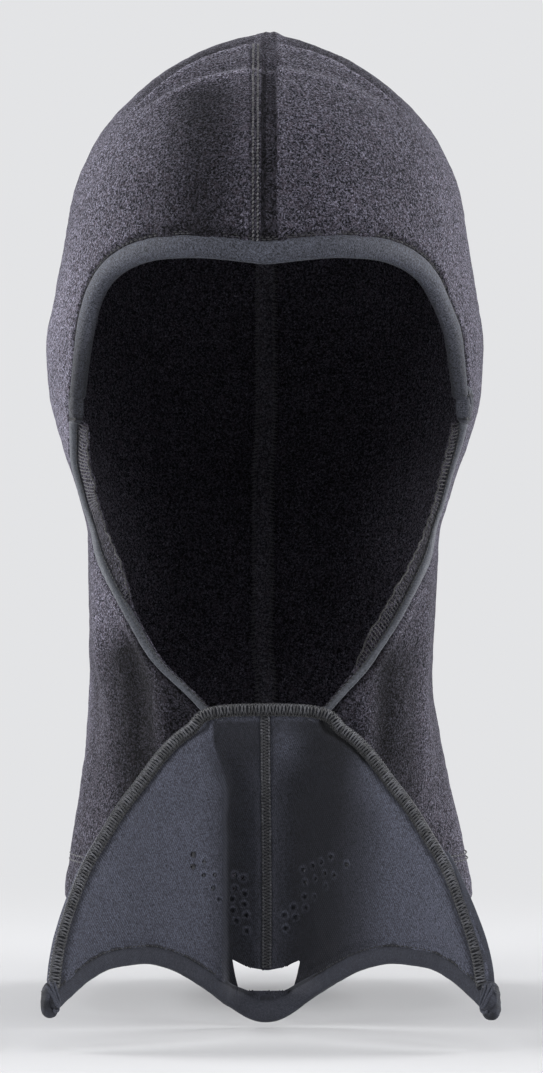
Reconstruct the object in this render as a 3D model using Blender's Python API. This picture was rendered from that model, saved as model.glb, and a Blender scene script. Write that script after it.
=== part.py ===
"""Convertible ski balaclava: a two-panel fleece hood with a bound face opening and a flip-down
face mask.

Frame: +Z up, the face looks along -Y, the wearer's left is +X. Lengths are millimetres; Z 0 is
the lowest point of the hanging mask. The mask hangs open, as it does when it is unclipped from
the temple magnets, and turns up about the chin seam (HINGE_Y, HINGE_Z) to close.
"""

import bpy
import bmesh
import math
import numpy as np

for old in list(bpy.data.objects):
    bpy.data.objects.remove(old, do_unlink=True)

MM = 0.001              # metres in a millimetre
MID_DEPTH = 23.6        # added to every y, so that the origin is at mid depth

# ---------------------------------------------------------------- driving dimensions
FLEECE = 2.4            # hood fabric thickness
NEOPRENE = 2.2          # mask fabric thickness
GAP = 0.4               # clearance between neighbouring pieces
SEAM_X = 0.25           # half the gap left at each centre seam
BROW_BAND = 8.0         # width of the wide elastic binding over the brow
BROW_THICK = 4.2
BROW_EASE = 0.65        # added to GAP between the brow binding and the fleece
JAW_PIPE = 3.7          # width of the narrow binding along the jaw
JAW_THICK = 4.0
JAW_EASE = 0.3          # added to GAP between the jaw binding and the fleece
HINGE_Y, HINGE_Z = -86.0, 113.5   # chin seam, the mask's hinge line
HINGE_R = 2.2           # radius of the rolled chin seam
HINGE_HALF = 26.0       # half length of the chin seam
MASK_BAND = 7.4         # width of the smooth binding on the mask's eye edge
MASK_BAND_THICK = 2.8
MASK_BAND_EASE = 0.25   # added to GAP between that binding and the mask panel
OVERLOCK = 4.4          # width of the serged mask edge
OVERLOCK_THICK = 3.2
OVERLOCK_EASE = 0.3     # added to GAP between the serged edge and the mask panel
PANEL_TOP = HINGE_Z - HINGE_R - 0.6   # top of the mask panels, just under the chin seam
MAGNET_R, MAGNET_T = 3.0, 1.6
MAGNET_PLAY = 0.35      # clearance around a magnet in its seat
BINDING_CORNER = 0.3    # corner cut of the bindings, as a fraction of their smaller side
OVERLOCK_CORNER = 0.35

# one row per level of the hood: height z, half width, front y, back y, y of the widest line
LEVELS = np.array([
    (37.5, 78.0, -61.0, 99.0, 17.0),
    (56.0, 75.5, -62.5, 93.5, 16.0),
    (76.0, 71.8, -66.0, 87.0, 15.0),
    (95.0, 69.2, -73.0, 81.0, 13.0),
    (113.0, 67.8, -81.3, 77.0, 11.0),
    (135.0, 67.2, -88.0, 75.0, 9.0),
    (165.0, 67.6, -95.0, 76.0, 8.0),
    (190.0, 72.0, -98.0, 82.0, 8.0),
    (210.0, 77.8, -99.5, 90.0, 8.0),
    (230.0, 82.4, -100.5, 96.5, 8.0),
    (250.0, 83.8, -101.0, 101.0, 8.0),
    (268.0, 80.8, -100.8, 102.5, 8.0),
    (290.0, 77.2, -99.5, 101.5, 8.0),
    (308.0, 74.0, -95.5, 98.0, 8.0),
    (322.0, 68.4, -88.0, 92.0, 8.0),
    (335.0, 60.0, -77.0, 83.0, 8.5),
    (346.0, 49.5, -62.0, 71.5, 9.5),
    (355.0, 38.0, -45.0, 58.0, 10.5),
    (362.5, 24.5, -24.0, 43.0, 11.5),
    (368.0, 9.5, -6.0, 29.0, 12.0),
    (370.0, 0.0, 0.0, 24.0, 12.0),
])
SQUARE_FRONT = 2.25     # how full the cross-section is: 2 is an ellipse
SQUARE_BACK = 2.15

# the face opening's inner edge, +X half: (x, z), from the chin seam up to the brow centre
OPENING = [
    (21.0, HINGE_Z), (25.6, 119.0), (33.0, 127.3), (40.6, 138.0), (46.9, 149.0), (52.5, 160.0),
    (57.5, 171.0), (62.6, 184.0), (66.5, 197.0), (69.3, 208.0), (70.4, 218.6), (69.6, 230.0),
    (68.2, 241.0), (66.5, 250.0), (65.0, 258.0), (62.5, 266.0), (57.5, 272.3), (50.0, 276.3),
    (40.0, 278.6), (27.0, 278.8), (12.0, 277.5), (SEAM_X, 276.0),
]
BROW_CENTRE = len(OPENING) - 1   # index of the last entry in OPENING
TEMPLE = 10             # index where the jaw binding ends; the brow binding starts at the next

# the mask's serged side edge, +X half: (z, x, y), from the top down
MASK_EDGE = np.array([
    (111.3, 26.0, -87.0), (107.3, 32.7, -90.0), (100.3, 39.9, -96.0), (91.1, 46.9, -104.5),
    (82.5, 53.8, -112.5), (71.5, 60.7, -122.0), (62.5, 66.1, -129.0), (53.1, 70.3, -135.0),
    (43.6, 74.0, -140.0), (34.4, 76.8, -143.5), (25.9, 78.4, -146.0), (19.0, 79.0, -147.5),
    (0.0, 79.0, -149.0),
])
# the mask's lower, eye-side edge, +X half: (x, z), from the centre out
MASK_LOW = [
    (SEAM_X, 0.0), (7.0, 1.6), (14.6, 7.6), (25.5, 15.9), (35.4, 21.8), (44.9, 24.4),
    (55.2, 24.0), (63.5, 20.6), (69.4, 16.0), (72.6, 13.0),
]
FOLD_X = 17.0           # half width of the nose channel
CHANNEL = 12.0          # its depth
HOLE_R = 0.95
# centres of the breathing perforations, +X half: (x, z)
HOLES = [
    (23.6, 61.1), (20.3, 58.9), (17.4, 57.1), (13.8, 55.3), (29.1, 58.9), (21.4, 54.9),
    (24.7, 54.6), (18.2, 52.4), (14.5, 50.9), (21.8, 50.2), (17.8, 45.8), (14.2, 45.5),
    (14.5, 41.5), (10.9, 37.8), (6.9, 38.6), (7.3, 33.8), (10.2, 41.5),
]
# upper edge of the nostril opening, +X half: (x, z)
NOSTRIL = [(SEAM_X, 18.4), (7.0, 19.4), (12.4, 22.2)]
STRAP_TOP = 10.2        # top of the nose strap at its centre
STRAP_HALF = 14.0       # x near which the nose strap meets the eye edge bindings


# ---------------------------------------------------------------- materials
def material(colour, roughness, metallic=0.0):
    made = bpy.data.materials.new(str((colour, roughness, metallic)))
    made.use_nodes = True
    shader = made.node_tree.nodes["Principled BSDF"]
    shader.inputs["Base Color"].default_value = (*colour, 1)
    shader.inputs["Roughness"].default_value = roughness
    shader.inputs["Metallic"].default_value = metallic
    return made


TRICOT_BLACK = (0.035, 0.037, 0.043)
NEOPRENE_BLACK = (0.040, 0.042, 0.050)
THREAD_BLACK = (0.030, 0.030, 0.034)

FLEECE_CLOTH = material(colour=(0.045, 0.045, 0.055), roughness=0.9)
BINDING_TRICOT = material(colour=TRICOT_BLACK, roughness=0.7)
POCKET_TRICOT = material(colour=TRICOT_BLACK, roughness=0.75)
MASK_NEOPRENE = material(colour=NEOPRENE_BLACK, roughness=0.8)
CUTTER_NEOPRENE = material(colour=NEOPRENE_BLACK, roughness=0.9)
PLAIN_THREAD = material(colour=THREAD_BLACK, roughness=0.8)
SEAM_THREAD = material(colour=THREAD_BLACK, roughness=0.85)
LABEL_TAPE = material(colour=(0.6, 0.6, 0.6), roughness=0.6)
MAGNET_METAL = material(colour=(0.55, 0.56, 0.58), roughness=0.3, metallic=1.0)


# ---------------------------------------------------------------- curves and vectors
def hermite(knots, values, at):
    """Monotone cubic through (knots, values), evaluated at `at`."""
    knots, values, at = (np.asarray(a, float) for a in (knots, values, at))
    step = np.diff(knots)
    rise = np.diff(values) / step
    slope = np.zeros(len(knots))
    for i in range(1, len(knots) - 1):
        if rise[i - 1] * rise[i] > 0:
            before, after = 2 * step[i] + step[i - 1], step[i] + 2 * step[i - 1]
            slope[i] = (before + after) / (before / rise[i - 1] + after / rise[i])
    slope[0], slope[-1] = rise[0], rise[-1]
    i = np.clip(np.searchsorted(knots, at) - 1, 0, len(step) - 1)
    t = np.clip((at - knots[i]) / step[i], 0, 1)
    return (
        values[i] * (1 + 2 * t) * (1 - t) ** 2 + step[i] * slope[i] * t * (1 - t) ** 2
        + values[i + 1] * t * t * (3 - 2 * t) - step[i] * slope[i + 1] * t * t * (1 - t)
    )


def smooth(t):
    t = np.clip(t, 0, 1)
    return t * t * (3 - 2 * t)


def unit(vectors):
    return vectors / np.maximum(np.linalg.norm(vectors, axis=-1, keepdims=True), 1e-9)


def tangents(path):
    return unit(np.gradient(path, axis=0))


def resample(points, count):
    """Points at equal chord distances along a smooth curve through the given points."""
    points = np.asarray(points, float)
    chords = np.linalg.norm(np.diff(points, axis=0), axis=1)
    distance = np.concatenate([[0], np.cumsum(chords)])
    want = np.linspace(0, distance[-1], count)
    return np.stack([hermite(distance, column, want) for column in points.T], -1)


def offset_left(path, distance):
    """A 2D path moved to the left of its direction of travel."""
    along = tangents(path)
    return path + np.stack([-along[:, 1], along[:, 0]], 1) * distance


def circle(centre, first_axis, second_axis, radius, count):
    angle = np.linspace(0, 2 * math.pi, count + 1)[:-1, None]
    return centre + (first_axis * np.cos(angle) + second_axis * np.sin(angle)) * radius


# ---------------------------------------------------------------- solids as (verts, faces)
def slab(outer, inner, wrap=False):
    """Closed solid between two matching grids of points."""
    rows, cols = outer.shape[:2]
    verts = list(outer.reshape(-1, 3)) + list(inner.reshape(-1, 3))
    under = rows * cols     # index step from an outer point to its inner one
    faces = []

    def at(i, j):
        return (i % rows) * cols + j

    for i in range(rows if wrap else rows - 1):
        for j in range(cols - 1):
            a, b, c, d = at(i, j), at(i + 1, j), at(i + 1, j + 1), at(i, j + 1)
            faces += [(a, b, c, d), (d + under, c + under, b + under, a + under)]
        a, b = at(i, 0), at(i + 1, 0)
        faces.append((a, a + under, b + under, b))
        a, b = at(i, cols - 1), at(i + 1, cols - 1)
        faces.append((b, b + under, a + under, a))
    if not wrap:
        for j in range(cols - 1):
            a, b = at(0, j), at(0, j + 1)
            faces.append((b, b + under, a + under, a))
            a, b = at(rows - 1, j), at(rows - 1, j + 1)
            faces.append((a, a + under, b + under, b))
    return verts, faces


def tube(rings):
    """Closed solid swept through rings of points, with flat ends."""
    rings = np.asarray(rings)
    count, sides = rings.shape[:2]
    faces = []
    for i in range(count - 1):
        here, there = i * sides, (i + 1) * sides
        for j in range(sides):
            k = (j + 1) % sides
            faces.append((here + j, here + k, there + k, there + j))
    last = (count - 1) * sides
    faces += [tuple(range(sides))[::-1], tuple(range(last, last + sides))]
    return list(rings.reshape(-1, 3)), faces


def section(width, thick, corner):
    """Flat section with cut corners, as (across, out) offsets from its centre."""
    w, t = width / 2, thick / 2
    c = corner * min(width, thick)
    return np.array([(-w, -t + c), (-w + c, -t), (w - c, -t), (w, -t + c),
                     (w, t - c), (w - c, t), (-w + c, t), (-w, t - c)])


def flat(width, thick):
    """Plain rectangular section for thread and tape."""
    w, t = width / 2, thick / 2
    return np.array([(-w, -t), (w, -t), (w, t), (-w, t)])


def rings_along(path, across_dirs, out_dirs, across, out, shape):
    """Rings of a section along a path, moved by across and out from it."""
    shape = shape + np.array([across, out])
    return path[:, None] + across_dirs[:, None] * shape[:, :1] + out_dirs[:, None] * shape[:, 1:]


def sweep(path, normals, across, out, shape):
    """As rings_along, with the section held square to the path."""
    along = tangents(path)
    normals = unit(normals - (normals * along).sum(1, keepdims=True) * along)
    return rings_along(path, np.cross(along, normals), normals, across, out, shape)


# ---------------------------------------------------------------- objects
SIDES = (("left", 1), ("right", -1))   # the wearer's left is +X


def add_frame(name, location=(0, 0, 0)):
    frame = bpy.data.objects.new(name, None)
    frame.location = location
    bpy.context.scene.collection.objects.link(frame)
    return frame


HOOD_FRAME = add_frame("hood_frame")
MASK_HINGE = add_frame("mask_hinge", (0, (HINGE_Y + MID_DEPTH) * MM, HINGE_Z * MM))
bpy.context.view_layer.update()   # so that the parent inverses below see the hinge's place


def add(name, solid, finish, parent, side=1, smooth_shade=True):
    """An object from a solid in mm. side -1 mirrors it in x."""
    verts, faces = solid
    bm = bmesh.new()
    made = [bm.verts.new((side * x * MM, (y + MID_DEPTH) * MM, z * MM)) for x, y, z in verts]
    for face in faces:
        bm.faces.new([made[i] for i in (face if side > 0 else face[::-1])])
    if bm.calc_volume(signed=True) < 0:
        bmesh.ops.reverse_faces(bm, faces=bm.faces)
    mesh = bpy.data.meshes.new(name)
    bm.to_mesh(mesh)
    bm.free()
    if smooth_shade:
        mesh.shade_smooth()
        mesh.set_sharp_from_angle(angle=math.radians(50))
    mesh.materials.append(finish)
    ob = bpy.data.objects.new(name, mesh)
    bpy.context.scene.collection.objects.link(ob)
    ob.parent = parent
    ob.matrix_parent_inverse = parent.matrix_world.inverted()
    return ob


def add_pair(name, solid, finish, parent, smooth_shade=True):
    """The solid on the wearer's left and its mirror image on the right."""
    return [add(f"{name}_{word}", solid, finish, parent, side, smooth_shade)
            for word, side in SIDES]


# ---------------------------------------------------------------- hood surface
# v runs from 0 at the neck hem to 1 at the crown, by distance through the levels; the two
# depth columns count half as much as height and half width
_steps = (np.diff(LEVELS[:, :4], axis=0) ** 2 * [1, 1, 0.25, 0.25]).sum(1)
LEVEL_V = np.concatenate([[0], np.cumsum(np.sqrt(_steps))])
LEVEL_V /= LEVEL_V[-1]


def level(v):
    """The columns of LEVELS at v."""
    return [hermite(LEVEL_V, column, v) for column in LEVELS.T]


def v_at(z):
    samples = np.linspace(0, 1, 801)
    return np.interp(z, hermite(LEVEL_V, LEVELS[:, 0], samples), samples)


def hood(phi, v):
    """Point on the hood's outer face, +X half: phi 0 is the front centre, pi the back centre."""
    z, half_width, front, back, widest = level(v)
    sine, cosine = np.sin(phi), np.cos(phi)
    power = 2 / np.where(cosine >= 0, SQUARE_FRONT, SQUARE_BACK)
    reach = np.where(cosine >= 0, front - widest, back - widest)
    x = half_width * np.abs(sine) ** power
    return np.stack([x, widest + reach * np.abs(cosine) ** power, z], -1)


def hood_normal(phi, v):
    """Outward."""
    step = 0.004
    around = hood(np.minimum(phi + step, math.pi), v) - hood(np.maximum(phi - step, 0), v)
    up = hood(phi, np.minimum(v + step, 1)) - hood(phi, np.maximum(v - step, 0))
    return unit(np.cross(around, up))


def hood_place(points):
    """(phi, v) of points near the hood's surface."""
    x, y, z = points.T
    v = v_at(z)
    _, half_width, front, back, widest = level(v)
    is_front = y < widest
    power = np.where(is_front, SQUARE_FRONT, SQUARE_BACK) / 2
    sine = np.clip(x / np.maximum(half_width, 1e-6), 0, 1.2) ** power
    reach = np.where(is_front, front - widest, back - widest)
    cosine = np.abs((y - widest) / reach) ** power
    return np.arctan2(sine, np.where(is_front, cosine, -cosine)), v


def phi_of_x(x, v):
    """phi of the point x from the centre, on the front of the hood."""
    half_width = level(v)[1]
    return np.arcsin(np.clip(x / np.maximum(half_width, 1e-6), 0, 1) ** (SQUARE_FRONT / 2))


def edge_path(first, last, count):
    """The opening's inner edge between two entries of OPENING, on the hood's face, with normals."""
    x, z = resample(OPENING[first:last + 1], count).T
    v = v_at(z)
    phi = phi_of_x(x, v)
    return hood(phi, v), hood_normal(phi, v)


def away_from_opening(path, normals):
    """Directions in the hood's face from the opening's edge towards the fleece."""
    return unit(np.cross(tangents(path), normals))


# ---------------------------------------------------------------- hood panels
HOOD_ACROSS = 17        # points across each hood panel
BACK_LAG = 0.93         # v at the back seam over v at the front, below the chin
BACK_BROW_V = 0.80      # v at the back seam of the row that starts at the brow centre


def fleece_edge():
    """(phi, v) of the panel's edge around the opening, outside the bindings."""
    path, normals = edge_path(0, BROW_CENTRE, 33)
    temple_z = OPENING[TEMPLE][1]
    brow_share = smooth((path[:, 2] - (temple_z - 13)) / 9)
    margin = ((JAW_PIPE + GAP + JAW_EASE) * (1 - brow_share)
              + (BROW_BAND + GAP + BROW_EASE) * brow_share)
    edge = path + away_from_opening(path, normals) * margin[:, None]
    edge[-1, 0] = SEAM_X
    return hood_place(edge)


EDGE_PHI, EDGE_V = fleece_edge()


def hood_rows():
    """(phi, v) on the front edge and v on the back seam, for every row of the panel."""
    chin_v = EDGE_V[0] - 0.004
    chin_back = BACK_LAG * chin_v
    rows = [(0.0, v, v * BACK_LAG) for v in np.linspace(0, chin_v, 6)]
    rows += [(EDGE_PHI[0] * f, chin_v, chin_back + 0.02 * f) for f in (0.45, 0.8)]
    rows += zip(EDGE_PHI, EDGE_V, np.linspace(chin_back + 0.03, BACK_BROW_V, len(EDGE_V)))
    crown = 1 - (1 - np.linspace(0, 1, 9)[1:]) ** 1.15
    rows += [(0.0, EDGE_V[-1] + (1 - EDGE_V[-1]) * f, BACK_BROW_V + (1 - BACK_BROW_V) * f)
             for f in crown]
    return rows


def hood_panels():
    across = np.linspace(0, 1, HOOD_ACROSS)
    outer, inner = [], []
    for front_phi, front_v, back_v in hood_rows():
        phi = front_phi + (math.pi - front_phi) * across
        v = front_v + (back_v - front_v) * (smooth(across) + across) * 0.5
        face, normals = hood(phi, v), hood_normal(phi, v)
        if front_v <= 1e-9:       # keeps the neck hem's edge level
            normals = unit(normals * [1, 1, 0])
        if front_v >= 0.999:      # the crown, where the surface closes to a point
            normals = np.tile([0.0, 0.0, 1.0], (HOOD_ACROSS, 1))
        lining = face - normals * FLEECE
        for row in (face, lining):
            row[:, 0] = np.maximum(row[:, 0], SEAM_X)
            if front_phi == 0.0:
                row[0, 0] = SEAM_X
            row[-1, 0] = SEAM_X
        outer.append(face)
        inner.append(lining)
    add_pair("hood_panel", slab(np.array(outer), np.array(inner)), FLEECE_CLOTH, HOOD_FRAME)


# ---------------------------------------------------------------- bindings of the opening
BROW_STITCH_GAP = 1.6   # from the band's outer edge to its stitch line
BROW_STITCH_OUT = 0.75


def both_halves(half):
    """A half path or its directions, ending at the centre, carried on to the -X half."""
    return np.concatenate([half[:-1], [half[-1] * [0, 1, 1]], half[:-1][::-1] * [-1, 1, 1]])


def brow_binding():
    """One band from temple to temple, with a stitch line on the fleece just outside it."""
    half, half_normals = edge_path(TEMPLE + 1, BROW_CENTRE, 19)
    path = both_halves(half)
    normals = unit(both_halves(half_normals))
    away = both_halves(away_from_opening(half, half_normals))
    away = unit(away - (away * normals).sum(1, keepdims=True) * normals)
    band = rings_along(path, away, normals, BROW_BAND / 2, -FLEECE / 2,
                       section(BROW_BAND, BROW_THICK, BINDING_CORNER))
    add("brow_binding", tube(band), BINDING_TRICOT, HOOD_FRAME)
    stitch = rings_along(path, away, normals, BROW_BAND + BROW_STITCH_GAP, BROW_STITCH_OUT,
                         flat(1.0, 0.6))
    add("brow_binding_stitch", tube(stitch[1:-1]), PLAIN_THREAD, HOOD_FRAME)


def jaw_bindings():
    path, normals = edge_path(0, TEMPLE, 15)
    away = away_from_opening(path, normals)
    path[-1] = path[-2] * 0.35 + path[-1] * 0.65   # stops short of the temple pocket
    rings = rings_along(path, away, normals, JAW_PIPE / 2, -FLEECE / 2,
                        section(JAW_PIPE, JAW_THICK, BINDING_CORNER))
    add_pair("jaw_binding", tube(rings), BINDING_TRICOT, HOOD_FRAME)


# ---------------------------------------------------------------- seams of the hood
STITCH_X = 3.4          # distance of the coverstitch from the centre seam
RIDGE_HALF = 3.45       # the crown stitch turns over where the hood is this half width
SEAM_FOOT_V = 0.062     # v where the front and back seam stitching starts, above the hem
COVERSTITCH = flat(3.4, 0.6)


def seam_line(front, v_start, v_end, count, ease=1.0):
    """A line up the hood beside its centre seam; ease above 1 gathers points at the end."""
    v = v_end - (v_end - v_start) * (1 - np.linspace(0, 1, count)) ** ease
    phi = phi_of_x(STITCH_X, v)
    if not front:
        phi = math.pi - phi
    points = hood(phi, v)
    points[:, 0] = STITCH_X
    return points, hood_normal(phi, v)


def crown_seam():
    """Coverstitch from the brow over the crown to the nape, and the allowance inside."""
    near_top = np.linspace(0.9, 1, 400)
    ridge_v = float(np.interp(-RIDGE_HALF, -level(near_top)[1], near_top))
    front, front_normals = seam_line(True, EDGE_V[-1] + 0.010, ridge_v, 20, ease=1.8)
    back, back_normals = seam_line(False, SEAM_FOOT_V, ridge_v, 32, ease=1.8)
    path = np.concatenate([front, back[:-1][::-1]])
    # the normals lean only a little sideways, so that the stitching lies nearly flat
    normals = np.concatenate([front_normals, back_normals[:-1][::-1]]) * [0.2, 1, 1]
    add("crown_seam_coverstitch", tube(sweep(path, normals, 0, 1.0, COVERSTITCH)),
        SEAM_THREAD, HOOD_FRAME, side=-1)
    allowance = sweep(path * [0, 1, 1], normals * [0, 1, 1], 0, -(FLEECE + 2.3), flat(6.0, 1.4))
    add("crown_seam_allowance", tube(allowance), FLEECE_CLOTH, HOOD_FRAME)


def throat_seam():
    path, normals = seam_line(True, SEAM_FOOT_V, EDGE_V[0] - 0.03, 9)
    add("throat_seam_coverstitch", tube(sweep(path, normals, 0, 0.85, COVERSTITCH)),
        SEAM_THREAD, HOOD_FRAME, side=-1)


def hoop(v, out, count=48):
    """A ring of points right around the hood, moved out from its face."""
    angle = np.linspace(0, 2 * math.pi, count + 1)[:-1]
    phi = np.where(angle <= math.pi, angle, 2 * math.pi - angle)
    v = np.full(count, v)
    points = hood(phi, v) + hood_normal(phi, v) * [1, 1, 0.3] * out
    points[:, 0] *= np.where(np.sin(angle) >= -1e-9, 1.0, -1.0)
    return points


def hoop_band(levels, outer_out, inner_out):
    outer, inner = (np.stack([hoop(v, out) for v in levels], 1) for out in (outer_out, inner_out))
    return slab(outer, inner, wrap=True)


def neck_hem():
    """The turned-up band inside, and its stitching outside."""
    band = hoop_band((0.004, 0.024, 0.044), -(FLEECE + 1.0), -(FLEECE + 2.4))
    add("neck_hem_band", band, FLEECE_CLOTH, HOOD_FRAME)
    add("neck_hem_coverstitch", hoop_band((0.040, 0.0475), 1.3, 0.75), SEAM_THREAD, HOOD_FRAME)


def care_label():
    """A flat tab inside the nape."""
    half_width, depth, thick = 11, FLEECE + 3.7, 0.5
    v = np.linspace(0.085, 0.155, 5)
    outer, inner = [], []
    for x in np.linspace(-half_width, half_width, 5):
        phi = math.pi - phi_of_x(abs(x) + 0.01, v)
        points, normals = hood(phi, v), hood_normal(phi, v)
        points[:, 0] = x
        normals[:, 0] *= np.sign(x)
        outer.append(points - normals * depth)
        inner.append(points - normals * (depth + thick))
    add("care_label", slab(np.array(outer), np.array(inner)), LABEL_TAPE, HOOD_FRAME)


# ---------------------------------------------------------------- mask surface
def mask_y(x, z):
    """Depth of the mask's visible face at (x, z), with the mask hanging open."""
    x = np.abs(x)
    edge_z, edge_x, edge_y = MASK_EDGE[::-1].T
    side_x, side_y = hermite(edge_z, edge_x, z), hermite(edge_z, edge_y, z)
    fold_y = HINGE_Y - 2.5 * smooth((HINGE_Z - 1 - z) / 30)
    # the cheek runs from the fold beside the nose channel to the side edge
    cheek = np.clip((x - FOLD_X) / np.maximum(side_x - FOLD_X, 4), 0, 1.15)
    y = fold_y + (side_y - fold_y) * cheek ** 1.12
    # the channel deepens below the hinge and is a little shallower at its lower end
    depth = CHANNEL * smooth((HINGE_Z - 3 - z) / 36) * (1 - 0.12 * smooth((24 - z) / 24))
    return y + depth * (1 - smooth((x / FOLD_X - 0.30) / 0.70))


def mask_point(x, z):
    return np.stack([x, mask_y(x, z), z], -1)


def mask_normal(x, z, step=0.4):
    """Towards the front, -Y."""
    slope_x = (mask_y(x + step, z) - mask_y(x - step, z)) / (2 * step)
    slope_z = (mask_y(x, z + step) - mask_y(x, z - step)) / (2 * step)
    return unit(np.stack([slope_x, -np.ones_like(slope_x), slope_z], -1))


def sweep_on_mask(line, across, out, shape):
    """Rings of a section along an (x, z) line on the mask's face."""
    x, z = line.T
    return sweep(mask_point(x, z), mask_normal(x, z), across, out, shape)


def coons(top, low, centre, edge, across, down):
    """Grid of (x, z) between four border curves."""
    s = np.linspace(0, 1, across)[:, None, None]
    t = np.linspace(0, 1, down)[None, :, None]
    top, low = resample(top, across)[:, None], resample(low, across)[:, None]
    centre, edge = resample(centre, down)[None], resample(edge, down)[None]
    corners = ((1 - s) * (1 - t) * top[0, 0] + s * (1 - t) * top[-1, 0]
               + (1 - s) * t * low[0, 0] + s * t * low[-1, 0])
    return (1 - t) * top + t * low + (1 - s) * centre + s * edge - corners


SIDE_LINE = MASK_EDGE[:-1, [1, 0]]   # the side edge as (x, z), less its lowest point
LOW_LINE = resample(MASK_LOW, 40)


# ---------------------------------------------------------------- mask pieces
def mask_panel_solid():
    side = offset_left(resample(SIDE_LINE, 40), -(OVERLOCK + GAP + OVERLOCK_EASE))
    side = side[(side[:, 1] < PANEL_TOP) & (side[:, 1] > 26.0)]
    band = offset_left(LOW_LINE, MASK_BAND + GAP + MASK_BAND_EASE)
    band = band[(band[:, 0] > 13.4) & (band[:, 0] < side[-1][0] - 2.0)]

    low = np.vstack([NOSTRIL, band[::3], side[-1:]])
    top = [(SEAM_X, PANEL_TOP), (side[0][0] * 0.5, PANEL_TOP), (side[0][0] - 0.6, PANEL_TOP)]
    centre = [top[0], (SEAM_X, 65.0), NOSTRIL[0]]
    grid = coons(top, low, centre, np.vstack([top[-1:], side]), across=17, down=15)

    x, z = grid[..., 0], grid[..., 1]
    face = mask_point(x, z)
    back = face - mask_normal(x, z) * NEOPRENE
    for layer in (face, back):
        layer[..., 0] = np.maximum(layer[..., 0], SEAM_X)
    return slab(face, back)


def perforation_solid():
    """One eight-sided pin through the panel for each hole."""
    x, z = np.array(HOLES).T
    verts, faces = [], []
    for centre, axis in zip(mask_point(x, z), mask_normal(x, z, step=1.5)):
        first = unit(np.cross(axis, (0.0, 0.0, 1.0)))
        second = np.cross(axis, first)
        ends = [circle(centre + axis * reach, first, second, HOLE_R, 8) for reach in (3.0, -6.0)]
        pin_verts, pin_faces = tube(ends)
        faces += [tuple(i + len(verts) for i in face) for face in pin_faces]
        verts += pin_verts
    return verts, faces


def mask_panels():
    panels = add_pair("mask_panel", mask_panel_solid(), MASK_NEOPRENE, MASK_HINGE)
    cutters = add_pair("perforation_cutter", perforation_solid(), CUTTER_NEOPRENE, MASK_HINGE,
                       smooth_shade=False)
    for panel, cutter in zip(panels, cutters):
        cutter.hide_render = True
        cutter.display_type = "WIRE"
        cut = panel.modifiers.new("perforations", "BOOLEAN")
        cut.operation = "DIFFERENCE"
        cut.solver = "EXACT"
        cut.object = cutter


def mask_edge_overlocks():
    line = resample(SIDE_LINE, 16)
    line = line[(line[:, 1] < PANEL_TOP - 2.0) & (line[:, 1] > 24.0)]
    rings = sweep_on_mask(line, OVERLOCK / 2, 0.2 - NEOPRENE / 2,
                          section(OVERLOCK, OVERLOCK_THICK, OVERLOCK_CORNER))
    add_pair("mask_edge_overlock", tube(rings), SEAM_THREAD, MASK_HINGE)


def chin_hinge():
    """The rolled chin seam, which is the hinge."""
    y_axis, z_axis = np.array([0, 1, 0]), np.array([0, 0, 1])
    rings = [circle((x, HINGE_Y, HINGE_Z), y_axis, z_axis, HINGE_R, 12)
             for x in np.linspace(-HINGE_HALF, HINGE_HALF, 9)]
    add("chin_hinge_overlock", tube(rings), SEAM_THREAD, MASK_HINGE)


def eye_edge_bindings():
    """Smooth binding on the eye edge, which also crosses the nose as a wider strap."""
    line = resample(MASK_LOW, 22)
    line = line[line[:, 0] < 71.8]
    x, z = line.T
    width = np.interp(x, [0, 9, 16], [STRAP_TOP, 8.6, MASK_BAND])
    points, normals = mask_point(x, z), mask_normal(x, z)
    along = tangents(points)
    along[0] = [1, 0, 0]
    up = np.cross(along, normals)
    up *= np.sign(up[:, 2:])
    normals[0] = [0, -1, 0]
    rings = rings_along(points, up * (width / MASK_BAND)[:, None], normals,
                        MASK_BAND / 2, 0.1 - NEOPRENE / 2,
                        section(MASK_BAND, MASK_BAND_THICK, BINDING_CORNER))
    rings[0, :, 0] = 0.0

    # both pieces end between the rings either side of the join, with a gap between them
    join = int(np.searchsorted(x, STRAP_HALF))
    strap_end = rings[join] * 0.10 + rings[join - 1] * 0.90
    binding_start = rings[join] * 0.94 + rings[join - 1] * 0.06
    half = np.concatenate([rings[:join], [strap_end]])
    strap = np.concatenate([half[1:][::-1] * [-1, 1, 1], half])
    add("nose_bridge_strap", tube(strap), BINDING_TRICOT, MASK_HINGE)
    binding = np.concatenate([[binding_start], rings[join + 1:]])
    add_pair("eye_edge_binding", tube(binding), BINDING_TRICOT, MASK_HINGE)


def eye_edge_stitches():
    line = offset_left(LOW_LINE, MASK_BAND + 1.5)
    line = resample(line[(line[:, 0] > 24) & (line[:, 0] < 66)], 9)
    rings = sweep_on_mask(line, 0, 0.75, flat(0.9, 0.5))
    add_pair("eye_edge_stitch", tube(rings), PLAIN_THREAD, MASK_HINGE)


def mask_centre_seam():
    z = np.linspace(PANEL_TOP - 1.5, NOSTRIL[0][1] + 1.0, 12)
    rings = sweep_on_mask(np.stack([np.zeros(12), z], 1), 0, 0.95, flat(4.4, 0.7))
    add("mask_center_coverstitch", tube(rings), SEAM_THREAD, MASK_HINGE)


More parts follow.
